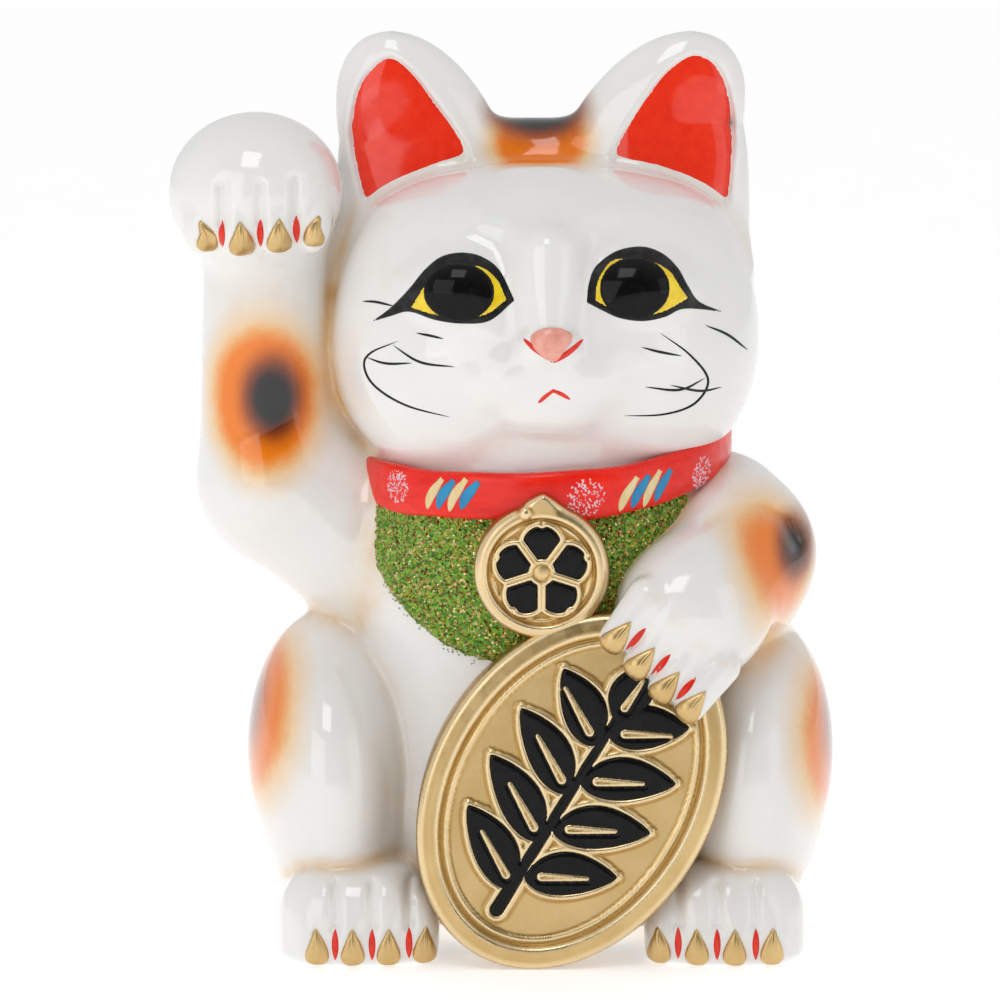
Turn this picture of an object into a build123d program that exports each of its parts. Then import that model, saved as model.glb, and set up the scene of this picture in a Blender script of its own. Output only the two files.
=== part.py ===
"""Beckoning cat figurine: a hollow slip-cast earthenware coin bank, as the pieces it is put together from.

Frame: millimetres, +Z up, the cat looks along -Y, origin on the floor under the middle of the neck.
"Right" and "left" are the cat's own: its right arm is the raised one, on the -X side.
Every luted piece is cut back from its neighbour by LUTE, the slip joint between them.
"""

import os
from math import cos, radians, sin

from build123d import *

# ---- driving dimensions --------------------------------------------
HEIGHT = 250.0  # floor to ear tips
WALL = 4.5  # thickness of the cast wall
LUTE = 0.15  # slip joint between two pieces
ENAMEL = 0.5  # thickness of a fired-on enamel field
FLOOR_WALL = 6.0  # thickness of the base
FOOT_RIM = 9.0  # width of the rim the figurine stands on
RECESS = 3.5  # depth of the hollow inside that rim

NECK_Z = 0.532 * HEIGHT  # where the head is luted on
CROWN_Z = 0.904 * HEIGHT
FACE_X = 0.5
NOSE_Z = 0.68 * HEIGHT
EYE_Z = 0.736 * HEIGHT
# Upright sections below: height, half width, half depth, middle in Y
HEAD_SECTIONS = (
    (NECK_Z, 48.5, 44.5, -4.0),
    (NECK_Z + 13.0, 55.0, 49.0, -5.5),
    (NECK_Z + 32.0, 58.6, 52.0, -6.5),
    (NECK_Z + 50.0, 58.0, 51.0, -6.5),
    (NECK_Z + 68.0, 53.0, 45.5, -5.5),
    (NECK_Z + 82.0, 42.0, 35.0, -4.0),
    (CROWN_Z - 2.5, 24.0, 20.0, -2.0),
    (CROWN_Z, 6.0, 5.0, -1.0),
)
TORSO_SECTIONS = (
    (0.0, 61.0, 54.0, 8.0),
    (28.0, 66.0, 60.0, 10.0),
    (60.0, 64.0, 58.0, 9.0),
    (90.0, 58.0, 52.0, 5.0),
    (115.0, 52.5, 48.0, 0.0),
    (NECK_Z, 48.0, 44.0, -3.5),
)
MUZZLE_CENTRE = (FACE_X, -44.0, NOSE_Z - 12.0)
MUZZLE_SEMI = (24.0, 17.0, 15.0)
# height, half width, half depth, distance of the middle from the head's middle
EAR_SECTIONS = (
    (0.74 * HEIGHT, 17.0, 11.0, 34.0),
    (0.80 * HEIGHT, 22.0, 13.0, 34.5),
    (0.90 * HEIGHT, 22.2, 11.5, 35.6),
    (0.948 * HEIGHT, 16.8, 9.0, 39.3),
    (0.974 * HEIGHT, 12.2, 7.0, 41.2),
    (0.99 * HEIGHT, 8.0, 5.0, 42.8),
    (HEIGHT, 2.5, 2.0, 44.0),
)
EAR_Y = -2.0
HAUNCH_CENTRE = (55.5, -2.0, 50.0)
HAUNCH_SEMI = (28.0, 50.0, 42.0)
FOOT_CENTRE = (51.0, -36.0)
FOOT_SIZE = (43.0, 45.0, 26.0)
FOOT_ROUND = (15.0, 9.0)  # radius of its upright corners, and of its top edge
TAIL_CENTRE = (0.0, 66.0, 25.0)
TAIL_SEMI = (14.0, 13.0, 15.0)

FOREARM_RADIUS = 18.0
ELBOW_CENTRE = (-66.0, 0.0, 0.492 * HEIGHT)
ELBOW_SEMI = (30.5, 26.0, 30.0)
FOREARM_FOOT = (-78.0, -4.0, 0.492 * HEIGHT)
WRIST = (-78.0, -10.0, 0.79 * HEIGHT)
PAW_CENTRE = (-79.5, -16.0, 0.82 * HEIGHT)
PAW_RADIUS = 23.5

UPPER_ARM_CENTRE = (46.0, -4.0, 0.41 * HEIGHT)
UPPER_ARM_SEMI = (27.5, 36.0, 27.0)
HELD_ELBOW = (52.0, -20.0, 0.428 * HEIGHT)
HELD_PAW = (39.0, -51.0, 0.384 * HEIGHT)
HELD_RADIUS = 20.5

COLLAR_HEIGHT = 12.5
COLLAR_MIDDLE = NECK_Z - COLLAR_HEIGHT / 2 - LUTE
COLLAR_SEMI = (53.0, 49.0)
COLLAR_Y = -2.5
COLLAR_ROUND = 1.2
BIB_RADIUS = 46.0
BIB_THICKNESS = 3.0
BIB_X = -2.0

MEDALLION_CENTRE = (-1.4, -59.0, 0.439 * HEIGHT)
MEDALLION_RADIUS = 18.2
MEDALLION_DEPTH = 13.0
MEDALLION_RIM = 3.0
MEDALLION_DISH = 1.0  # depth of its face below the rim
LOOP_RADIUS = 4.5  # the bead it hangs from
PETAL_RADIUS = 4.6
PETAL_REACH = 7.4
MOTIF_HEIGHT = 1.2  # thickness of the two enamel motifs

KOBAN_CENTRE = (6.7, -60.0, 48.4)
KOBAN_SEMI = (38.4, 51.5)
KOBAN_TURN = 30.0  # degrees the top leans towards the cat's left
KOBAN_LEAN = 3.0  # degrees the top leans back
KOBAN_DEPTH = 20.0
KOBAN_RIM = 5.5  # width of each of its two rim steps
KOBAN_FIELD = 0.8  # depth of its field below the rim
LEAF_PITCH = 15.5
LEAF_RISE = 30.0  # degrees each leaf rises from level
# half length and half width of each pair of leaves, from the bottom
LEAVES = ((11.0, 4.2), (12.5, 4.6), (12.0, 4.4), (9.0, 3.8))

SLOT_SIZE = (34.0, 4.0)  # coin slot, wide enough for a 30 mm coin
SLOT_Z = 0.8 * HEIGHT
STOPPER_RADIUS = 14.0
STOPPER_LENGTH = 9.0
STOPPER_WALL = 3.5
STOPPER_CLEARANCE = 0.08
FLANGE_RADIUS = 18.0
FLANGE_THICKNESS = 2.0

TOE_PITCH = 9.2
TOE_SHIFT = 3.7  # how far the four toes sit inwards of the foot's middle
CLAW_SEMI = (2.9, 2.6, 4.8)
BECKONING_CLAW_DROP = 8.5  # how far the raised paw's claws sit below its middle
EYE_SPREAD = 23.0  # middle of each eye from the middle of the face
EYE_SIZE = (15.5, 9.0)
PUPIL_SIZE = (9.8, 7.8)
LID_WIDTH = 1.4
NOSE_Y = -58.5
NOSE_SEMI = (7.0, 4.5, 5.0)
MOUTH_DROP = 15.0  # how far the mouth sits below the nose
MOUTH_STROKE = (9.0, 1.8)
MOUTH_SLOPE = 36.0  # degrees each half of the mouth falls away
# X and Z on the left ear's lining: outer corner, foot arc, inner corner, inner arc, top, outer arc
LINING = (
    (50.0, 0.83 * HEIGHT),
    (35.0, 0.856 * HEIGHT),
    (18.5, 0.862 * HEIGHT),
    (28.5, 0.926 * HEIGHT),
    (44.0, 0.972 * HEIGHT),
    (53.5, 0.91 * HEIGHT),
)


# ---- shapes shared by several pieces --------------------------------------------
def ellipsoid(centre, semi, grow=0.0):
    """An ellipsoid on a centre, grown outwards by grow."""
    a, b, c = (s + grow for s in semi)
    return Pos(*centre) * scale(Sphere(1.0), by=(a, b, c))


def mirrored(centre, side):
    """A centre given for the cat's left, moved to a side: +1 left, -1 right."""
    return (side * centre[0], centre[1], centre[2])


def capsule(start, end, radius, grow=0.0):
    """A round bar with ball ends."""
    r = radius + grow
    line = Vector(*end) - Vector(*start)
    bar = Plane(origin=start, z_dir=line) * extrude(Circle(r), line.length)
    return bar + Pos(*start) * Sphere(r) + Pos(*end) * Sphere(r)


def stack(sections, grow=0.0):
    """A loft through level ellipses: (height, half width, half depth, middle in X, middle in Y)."""
    faces = [Pos(x, y, z) * Ellipse(a + grow, b + grow) for z, a, b, x, y in sections]
    return loft(faces)


def slab(low, high):
    """Everything between two heights."""
    return Pos(0, 0, (low + high) / 2) * Box(2 * HEIGHT, 2 * HEIGHT, high - low)


def torso_form(grow=0.0):
    return stack([(z, a, b, 0.0, y) for z, a, b, y in TORSO_SECTIONS], grow)


def haunch_form(side, grow=0.0):
    return ellipsoid(mirrored(HAUNCH_CENTRE, side), HAUNCH_SEMI, grow)


def foot_form(side, grow=0.0):
    """A block with round upright corners and a round top edge, standing on the floor."""
    width, depth, height = FOOT_SIZE
    corner, top = FOOT_ROUND
    block = extrude(RectangleRounded(width + 2 * grow, depth + 2 * grow, corner + grow), height + grow)
    block = fillet(block.faces().sort_by(Axis.Z)[-1].edges(), top + grow)
    return Pos(side * FOOT_CENTRE[0], FOOT_CENTRE[1], 0) * block


def body_form(grow=0.0):
    """Torso and haunches, standing on the floor."""
    form = torso_form(grow) + haunch_form(1, grow) + haunch_form(-1, grow)
    return above_floor(form)


def skull_form(grow=0.0):
    return stack([(z, a, b, 0.0, y) for z, a, b, y in HEAD_SECTIONS], grow)


def muzzle_form(grow=0.0):
    return ellipsoid(MUZZLE_CENTRE, MUZZLE_SEMI, grow)


def head_form(grow=0.0):
    return skull_form(grow) + muzzle_form(grow)


def ear_form(side, grow=0.0):
    """A rounded wedge from inside the head to the tip."""
    return stack([(z, a, b, side * x, EAR_Y) for z, a, b, x in EAR_SECTIONS], grow)


def beckoning_form(grow=0.0):
    forearm = capsule(FOREARM_FOOT, WRIST, FOREARM_RADIUS, grow)
    elbow = ellipsoid(ELBOW_CENTRE, ELBOW_SEMI, grow)
    return forearm + elbow + Pos(*PAW_CENTRE) * Sphere(PAW_RADIUS + grow)


def holding_form(grow=0.0):
    shoulder = ellipsoid(UPPER_ARM_CENTRE, UPPER_ARM_SEMI, grow)
    return shoulder + capsule(HELD_ELBOW, HELD_PAW, HELD_RADIUS, grow)


def above_floor(form):
    return form & slab(0.0, 2 * HEIGHT)


def front_prism(sketch):
    """A sketch drawn in X and Z, run along Y through the front half of the figurine."""
    return extrude(Plane.XZ * sketch, HEIGHT)


def koban_plane():
    """The plate's own plane: its Z is the outward normal, its Y runs to the plate's top."""
    turn, lean = radians(KOBAN_TURN), radians(KOBAN_LEAN)
    across = (cos(turn), -sin(turn) * sin(lean), -sin(turn) * cos(lean))
    return Plane(origin=KOBAN_CENTRE, x_dir=across, z_dir=(0, -cos(lean), sin(lean)))


# ---- the cast pieces --------------------------------------------
def body_shell():
    inside = torso_form(-WALL) + haunch_form(1, -WALL) + haunch_form(-1, -WALL)
    room = inside & slab(FLOOR_WALL, 2 * HEIGHT)
    _, width, depth, middle = TORSO_SECTIONS[0]
    recess = Pos(0, middle, 0) * extrude(Ellipse(width - FOOT_RIM, depth - FOOT_RIM), RECESS)
    pour_hole = Pos(0, middle, 0) * Cylinder(STOPPER_RADIUS, 4 * FLOOR_WALL)
    shell = (body_form() & slab(0.0, NECK_Z - LUTE)) - room - recess - pour_hole
    return shell - muzzle_form(LUTE) - foot_form(1, LUTE) - foot_form(-1, LUTE)


def head_shell():
    inside = skull_form(-WALL) & slab(0.0, CROWN_Z - WALL)
    width, height = SLOT_SIZE
    slot = Pos(0, HEIGHT / 2, SLOT_Z) * Box(width, HEIGHT, height)
    return (head_form() & slab(NECK_Z, HEIGHT)) - inside - slot


def ear(side):
    return ear_form(side) - head_form(LUTE)


def beckoning_arm():
    inside = beckoning_form(-WALL)
    return beckoning_form() - inside - body_form(LUTE) - head_form(LUTE) - ear_form(-1, LUTE)


def holding_arm():
    inside = holding_form(-WALL)
    return holding_form() - inside - body_form(LUTE) - head_form(LUTE)


def tail():
    return above_floor(ellipsoid(TAIL_CENTRE, TAIL_SEMI)) - body_form(LUTE)


def collar_form(grow=0.0):
    """The collar as a disc, with the neck filled in."""
    a, b = COLLAR_SEMI
    disc = extrude(Ellipse(a + grow, b + grow), COLLAR_HEIGHT + 2 * grow)
    return Pos(0, COLLAR_Y, COLLAR_MIDDLE - COLLAR_HEIGHT / 2 - grow) * disc


def collar():
    disc = collar_form()
    band = fillet(disc.edges(), COLLAR_ROUND)
    for cut in (torso_form(LUTE), beckoning_form(LUTE), holding_form(LUTE)):
        band -= cut
    return band


def bib_block(grow=0.0):
    """A thick half-round piece of the torso's front, from under the collar down."""
    outline = front_prism(Pos(BIB_X, COLLAR_MIDDLE) * Circle(BIB_RADIUS + grow))
    return torso_form(BIB_THICKNESS + grow) & outline & slab(0.0, COLLAR_MIDDLE - COLLAR_HEIGHT / 2 - LUTE)


def bib():
    """The glitter-coated bib, a thick layer that hangs from under the collar."""
    layer = bib_block() - torso_form(LUTE)
    for cut in (beckoning_form(LUTE), holding_form(LUTE), medallion_block()):
        layer -= cut
    return layer


# ---- medallion and koban --------------------------------------------
def medallion_plane():
    return Plane(origin=MEDALLION_CENTRE, x_dir=(1, 0, 0), z_dir=(0, -1, 0))


def medallion_block(grow=LUTE):
    """The round boss of the medallion as a plain bar, for cutting its neighbours."""
    return medallion_plane() * Cylinder(MEDALLION_RADIUS + grow, 2 * MEDALLION_DEPTH)


def medallion():
    r, rim = MEDALLION_RADIUS, MEDALLION_RIM
    disc = Cylinder(r, MEDALLION_DEPTH, align=(Align.CENTER, Align.CENTER, Align.MAX))
    disc = fillet(disc.edges().sort_by(Axis.Z)[-1], rim * 0.8)
    dish = Cylinder(r - rim, 2 * MEDALLION_DISH)
    loop = Pos(0, r - 1.0, -LOOP_RADIUS) * Sphere(LOOP_RADIUS)
    solid = medallion_plane() * (disc - dish + loop)
    for cut in (torso_form(LUTE), collar_form(LUTE)):
        solid -= cut
    return solid


def medallion_motif():
    """A five-petalled plum blossom in black enamel on the dish."""
    blossom = Circle(PETAL_RADIUS * 0.45)
    for k in range(5):
        angle = radians(90 + 72 * k)
        blossom += Pos(PETAL_REACH * cos(angle), PETAL_REACH * sin(angle)) * Circle(PETAL_RADIUS)
    return medallion_plane() * Pos(0, 0, LUTE - MEDALLION_DISH) * extrude(blossom, MOTIF_HEIGHT)


def koban_block(grow=LUTE):
    """The plate's oval outline run back into the body."""
    oval = Ellipse(KOBAN_SEMI[0] + grow, KOBAN_SEMI[1] + grow)
    return koban_plane() * Pos(0, 0, -KOBAN_DEPTH) * extrude(oval, KOBAN_DEPTH + 2 * grow)


def koban_plate():
    a, b = KOBAN_SEMI
    oval = Pos(0, 0, -KOBAN_DEPTH) * extrude(Ellipse(a, b), KOBAN_DEPTH)
    oval = chamfer(oval.edges().sort_by(Axis.Z)[-1], KOBAN_RIM * 0.5, KOBAN_RIM)
    field = Pos(0, 0, -KOBAN_FIELD) * extrude(Ellipse(a - 2 * KOBAN_RIM, b - 2 * KOBAN_RIM), KOBAN_DEPTH)
    plate = above_floor(koban_plane() * (oval - field))
    for side in (-1, 1):
        plate -= foot_form(side, LUTE)
    for cut in (body_form(LUTE), holding_form(LUTE), bib_block(LUTE), medallion_block()):
        plate -= cut
    return plate


def koban_motif():
    """A sprig of paired leaves in black enamel on the plate's field."""
    sprig = SlotOverall(4.4 * LEAF_PITCH, 3.6, rotation=90)
    for k, (length, width) in enumerate(LEAVES):
        root = (k - 1.9) * LEAF_PITCH
        for side in (-1, 1):
            blade = Pos(side * 0.9 * length, 0) * leaf(length, width)
            sprig += Pos(0, root) * Rot(0, 0, side * LEAF_RISE) * blade
    solid = koban_plane() * Pos(0, 0, LUTE - KOBAN_FIELD) * extrude(sprig, MOTIF_HEIGHT)
    return solid - holding_form(LUTE)


def leaf(length, width):
    """A leaf between two arcs, pointed at both ends."""
    upper = ThreePointArc((-length, 0), (0, width), (length, 0))
    lower = ThreePointArc((length, 0), (0, -width), (-length, 0))
    return make_face(upper + lower)


# ---- claws --------------------------------------------
def claws_on(form, places, turn=(0, 0, 0)):
    """Four gilded claws standing on a paw, each its own solid."""
    solids = []
    for place in places:
        claw = Pos(*place) * Rot(*turn) * scale(Sphere(1.0), by=CLAW_SEMI)
        solids += above_floor(claw - form).solids()
    return Compound(children=[s for s in solids if s.volume > 1.0])


def foot_front(across):
    """Y of a foot's front face at a distance across from the foot's middle."""
    corner = FOOT_ROUND[0]
    past = max(0.0, abs(across) - (FOOT_SIZE[0] / 2 - corner))
    return FOOT_CENTRE[1] - FOOT_SIZE[1] / 2 + corner - (corner**2 - past**2) ** 0.5


def foot_claws(side):
    places = []
    for k in range(4):
        across = (k - 1.5) * TOE_PITCH - TOE_SHIFT
        places.append((side * (FOOT_CENTRE[0] + across), foot_front(across), CLAW_SEMI[2] + 0.4))
    return claws_on(foot_form(side, LUTE), places)


def beckoning_claws():
    cx, cy, cz = PAW_CENTRE
    ring = (PAW_RADIUS**2 - BECKONING_CLAW_DROP**2) ** 0.5
    places = []
    for k in range(4):
        angle = radians(26.0 * (k - 1.5))
        places.append((cx + ring * sin(angle), cy - ring * cos(angle), cz - BECKONING_CLAW_DROP))
    return claws_on(beckoning_form(LUTE), places)


def holding_claws():
    cx, cy, cz = HELD_PAW
    ring = 0.85 * HELD_RADIUS
    front = (HELD_RADIUS**2 - ring**2) ** 0.5
    places = []
    for k in range(4):
        angle = radians(183.0 + 29.0 * k)
        places.append((cx + ring * cos(angle), cy - front - 1.0, cz + ring * sin(angle)))
    return claws_on(holding_form(LUTE) + koban_block(), places, (0, 45, 0))


# ---- enamel on the face --------------------------------------------
def layer_on(form, outline):
    """An enamel field: a thin layer lying on a form, inside an outline drawn in X and Z."""
    return (form(LUTE + ENAMEL) - form(LUTE)) & front_prism(outline)


def eye_oval(side, size, grow=0.0):
    return Pos(side * EYE_SPREAD + FACE_X, EYE_Z) * Ellipse(size[0] + grow, size[1] + grow)


def eye(side):
    """Black enamel: the lid line round the eye, and the pupil."""
    lid = eye_oval(side, EYE_SIZE) - eye_oval(side, EYE_SIZE, -LID_WIDTH)
    return layer_on(skull_form, lid + eye_oval(side, PUPIL_SIZE))


def iris(side):
    """Yellow enamel: the two crescents between the lid line and the pupil."""
    crescents = eye_oval(side, EYE_SIZE, -LID_WIDTH - LUTE) - eye_oval(side, PUPIL_SIZE, LUTE)
    return layer_on(skull_form, crescents)


def nose():
    return ellipsoid((FACE_X, NOSE_Y, NOSE_Z), NOSE_SEMI) - head_form(LUTE)


def mouth():
    """An upturned V of red enamel on the muzzle."""
    length, width = MOUTH_STROKE
    reach = 0.4 * length
    strokes = Sketch()
    for side in (-1, 1):
        stroke = Rot(0, 0, -side * MOUTH_SLOPE) * SlotOverall(length, width)
        strokes += Pos(FACE_X + side * reach, NOSE_Z - MOUTH_DROP) * stroke
    return layer_on(muzzle_form, strokes) - skull_form(LUTE)


def ear_lining(side):
    """Red enamel on the front of an ear, between three arcs."""
    outer, foot_arc, inner, inner_arc, top, outer_arc = ((side * x, z) for x, z in LINING)
    edges = ThreePointArc(outer, foot_arc, inner) + ThreePointArc(inner, inner_arc, top)
    outline = make_face(edges + ThreePointArc(top, outer_arc, outer))
    skin = ear_form(side, LUTE + ENAMEL) - ear_form(side, LUTE)
    return (skin & front_prism(outline)) - head_form(LUTE)


# ---- the stopper --------------------------------------------
def base_stopper():
    """A soft plug, hollow from above, with a flange that lies in the base's recess."""
    middle = TORSO_SECTIONS[0][3]
    plug = extrude(Circle(STOPPER_RADIUS - STOPPER_CLEARANCE), STOPPER_LENGTH)
    plug = chamfer(plug.edges().sort_by(Axis.Z)[-1], 0.1 * STOPPER_RADIUS)
    flange = Pos(0, 0, -FLANGE_THICKNESS) * extrude(Circle(FLANGE_RADIUS), FLANGE_THICKNESS)
    flange = fillet(flange.edges(), 0.35 * FLANGE_THICKNESS)
    hollow = Pos(0, 0, FLANGE_THICKNESS) * extrude(Circle(STOPPER_RADIUS - STOPPER_WALL), STOPPER_LENGTH)
    return Pos(0, middle, RECESS - STOPPER_CLEARANCE) * (plug + flange - hollow)


PIECES = {
    "body_shell": body_shell,
    "head_shell": head_shell,
    "right_ear": lambda: ear(-1),
    "left_ear": lambda: ear(1),
    "beckoning_arm": beckoning_arm,
    "holding_arm": holding_arm,
    "right_foot": lambda: foot_form(-1),
    "left_foot": lambda: foot_form(1),
    "tail": tail,
    "collar_band": collar,
    "bib": bib,
    "medallion": medallion,
    "medallion_motif": medallion_motif,
    "koban_plate": koban_plate,
    "koban_motif": koban_motif,
    "beckoning_claws": beckoning_claws,
    "holding_claws": holding_claws,
    "right_foot_claws": lambda: foot_claws(-1),
    "left_foot_claws": lambda: foot_claws(1),
    "right_eye": lambda: eye(-1),
    "left_eye": lambda: eye(1),
    "right_iris": lambda: iris(-1),
    "left_iris": lambda: iris(1),
    "nose_pad": nose,
    "mouth_line": mouth,
    "right_ear_lining": lambda: ear_lining(-1),
    "left_ear_lining": lambda: ear_lining(1),
    "base_stopper": base_stopper,
}


if __name__ == "__main__":
    os.makedirs("parts", exist_ok=True)
    for name, make in PIECES.items():
        export_step(make(), f"parts/{name}.step")
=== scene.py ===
import math

import bpy
import numpy as np
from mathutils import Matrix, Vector
from mathutils.bvhtree import BVHTree


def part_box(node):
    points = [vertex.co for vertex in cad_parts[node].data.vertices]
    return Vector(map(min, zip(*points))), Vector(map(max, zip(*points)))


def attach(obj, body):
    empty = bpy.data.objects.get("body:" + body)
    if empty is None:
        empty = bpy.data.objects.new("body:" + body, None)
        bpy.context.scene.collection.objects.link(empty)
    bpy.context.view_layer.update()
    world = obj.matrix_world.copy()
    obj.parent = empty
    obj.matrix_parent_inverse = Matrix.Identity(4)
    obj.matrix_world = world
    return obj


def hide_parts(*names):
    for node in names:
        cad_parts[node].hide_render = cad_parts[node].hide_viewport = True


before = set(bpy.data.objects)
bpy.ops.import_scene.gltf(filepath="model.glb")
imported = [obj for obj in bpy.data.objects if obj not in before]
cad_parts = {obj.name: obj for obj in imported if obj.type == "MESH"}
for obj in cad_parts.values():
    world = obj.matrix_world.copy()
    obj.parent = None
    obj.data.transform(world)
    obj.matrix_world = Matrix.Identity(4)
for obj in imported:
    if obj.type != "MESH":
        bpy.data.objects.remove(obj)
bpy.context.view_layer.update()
MM = 0.001
VOXEL = 1.0  # mm between the points the glazed casting is sculpted on
SIDES = ((-1, "right"), (1, "left"))  # the cat's own right and left; its right is at -X


def box_mm(node):
    lo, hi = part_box(node)
    return np.array(lo) / MM, np.array(hi) / MM


def middle(node):
    lo, hi = box_mm(node)
    return (lo + hi) / 2


def middles(part):
    """The middles of the right and the left one of a part, by side."""
    return {side: middle(f"{name}_{part}") for side, name in SIDES}


# ---- distance fields ----
def smin(a, b, k):
    h = np.clip(0.5 + 0.5 * (b - a) / k, 0.0, 1.0)
    return b + (a - b) * h - k * h * (1.0 - h)


def smax(a, b, k):
    return -smin(-a, -b, k)


def turned(degrees_x, degrees_y):
    """Rotation matrix: about X, then Y."""
    x, y = math.radians(degrees_x), math.radians(degrees_y)
    rx = np.array([[1, 0, 0], [0, math.cos(x), -math.sin(x)], [0, math.sin(x), math.cos(x)]])
    ry = np.array([[math.cos(y), 0, math.sin(y)], [0, 1, 0], [-math.sin(y), 0, math.cos(y)]])
    return ry @ rx


def ellipsoid(p, centre, semi, turn=None):
    """Distance to an ellipsoid, or to an ellipse where the points are flat."""
    q = p - np.asarray(centre)
    if turn is not None:
        q = q @ turn
    semi = np.asarray(semi)
    k0 = np.sqrt(np.sum((q / semi) ** 2, 1)) + 1e-9
    k1 = np.sqrt(np.sum((q / semi**2) ** 2, 1)) + 1e-9
    return k0 * (k0 - 1.0) / k1


def bar(p, a, b, ra, rb):
    """A round bar from a to b whose radius runs from ra to rb, solid or flat."""
    a, b = np.asarray(a), np.asarray(b)
    q = p - a
    d = b - a
    t = np.clip(q @ d / (d @ d), 0.0, 1.0)
    return np.sqrt(np.sum((q - t[:, None] * d) ** 2, 1)) - (ra + (rb - ra) * t)


def block(p, centre, half, radius):
    """A box with all edges rounded."""
    q = np.abs(p - np.asarray(centre)) - (np.asarray(half) - radius)
    out = np.sqrt(np.sum(np.maximum(q, 0.0) ** 2, 1))
    return out + np.minimum(q.max(1), 0.0) - radius


# ---- curves and outlines ----
def curve(points, corners=(), looped=True, step=0.6):
    """A smooth line through the points that turns sharply at the corners."""
    p = np.asarray(points, float)
    n = len(p)
    out = []
    for i in range(n if looped else n - 1):
        a, b = p[i], p[(i + 1) % n]
        before, after = p[i - 1], p[(i + 2) % n]
        ta, tb = (b - before) / 2, (after - a) / 2
        if i in corners or (not looped and i == 0):
            ta = b - a
        if (i + 1) % n in corners or (not looped and i == n - 2):
            tb = b - a
        count = max(2, int(math.ceil(np.linalg.norm(b - a) / step)))
        t = (np.arange(count) / count)[:, None]
        out.append((2 * t**3 - 3 * t**2 + 1) * a + (t**3 - 2 * t**2 + t) * ta
                   + (3 * t**2 - 2 * t**3) * b + (t**3 - t**2) * tb)
    if not looped:
        out.append(p[-1:])
    return np.concatenate(out)


def loop_distance(q, loop):
    """Distance to a closed outline, negative inside it."""
    best = np.full(len(q), 1e9)
    inside = np.zeros(len(q), bool)
    for a, b in zip(loop, np.roll(loop, -1, 0)):
        d = b - a
        t = np.clip((q - a) @ d / (d @ d + 1e-12), 0.0, 1.0)
        best = np.minimum(best, np.sum((q - a - t[:, None] * d) ** 2, 1))
        if a[1] != b[1]:
            spans = (a[1] > q[:, 1]) != (b[1] > q[:, 1])
            inside ^= spans & (q[:, 0] < a[0] + (q[:, 1] - a[1]) * d[0] / d[1])
    return np.where(inside, -1.0, 1.0) * np.sqrt(best)


# ---- the cat's form ----
HEAD_LO, HEAD_HI = box_mm("head_shell")
NECK, CROWN = HEAD_LO[2], HEAD_HI[2]
HEAD = np.array([0.0, (HEAD_LO[1] + HEAD_HI[1]) / 2 + 1.8, NECK + 45.0])
ARM_LO, ARM_HI = box_mm("beckoning_arm")
PAW = np.array([ARM_LO[0] + 23.5, ARM_LO[1] + 23.5, ARM_HI[2] - 23.5])
HOLD_LO = box_mm("holding_arm")[0]
HELD = HOLD_LO + 20.5  # middle of the holding paw
STOPPER_LO, STOPPER_HI = box_mm("base_stopper")
HOLE = (STOPPER_LO + STOPPER_HI)[:2] / 2
HOLE_RADIUS = 14.0
SLOT_LONG, SLOT_WIDE, SLOT_Z = 34.0, 4.0, NECK + 67.0  # the coin slot in the back of the head
NOSE, MOUTH, TAIL = middle("nose_pad"), middle("mouth_line"), middle("tail")
PAW_CLAWS, HELD_CLAWS = middle("beckoning_claws"), middle("holding_claws")
EYES, LININGS, FEET, FOOT_CLAWS = (middles(part) for part in ("eye", "ear_lining", "foot", "foot_claws"))
EAR_TIP = {side: box_mm(f"{name}_ear")[1][2] for side, name in SIDES}
# across and up from the middle of the claws: gaps between the raised toes, claws of the holding paw
PAW_GAPS = ((-8.2, 0.8), (2.2, 1.2), (11.8, 1.9))
HELD_TIPS = ((-11.2, 6.2), (-4.8, -0.8), (1.8, -7.4), (8.8, -12.6))
# by side: how far the feet's toes are off the middle of the claws, and how far they are apart
FOOT_SHIFT, FOOT_GAP = {-1: 0.0, 1: -1.0}, {-1: 10.0, 1: 10.5}
# the crease where the holding arm's sleeve meets the shoulder, as (x, z)
SHOULDER = ((43.0, 119.5), (50.5, 122.6), (58.7, 122.4), (64.6, 119.5), (68.5, 112.0))


def torso(p):
    """The trunk, from the base to the neck, a little less deep than wide."""
    q = p * np.array([1.0, 1.08, 1.0])
    f = bar(q, (0, 8, 46), (0, 2, 96), 63.0, 52.0)
    return smin(f, bar(q, (0, -1, 100), (0, -4, NECK + 6), 51.0, 46.5), 14.0)


def haunch(p, side):
    centre = (side * 56.8 - 1.3, -3.0, 46.0)
    f = ellipsoid(p, centre, (25.2, 52.0, 42.5), turned(0, side * 5.0))
    return smin(f, ellipsoid(p, (centre[0] - side * 0.5, -2.0, 30.0), (21.5, 44.0, 27.0)), 4.0)


def fold(p, line, width, height):
    """How far a soft fold along a line stands out, seen from the front."""
    low, high = np.min(line, 0) - 2.6 * width, np.max(line, 0) + 2.6 * width
    x, y, z = p.T
    near = (x > low[0]) & (x < high[0]) & (z > low[1]) & (z < high[1]) & (y < HEAD[1] - 8.0)
    out = np.zeros(len(p))
    if near.any():
        away = [bar(p[near][:, [0, 2]], a, b, 0.0, 0.0) for a, b in zip(line, line[1:])]
        out[near] = height * np.exp(-(np.min(away, 0) / width) ** 2)
    return out


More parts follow.
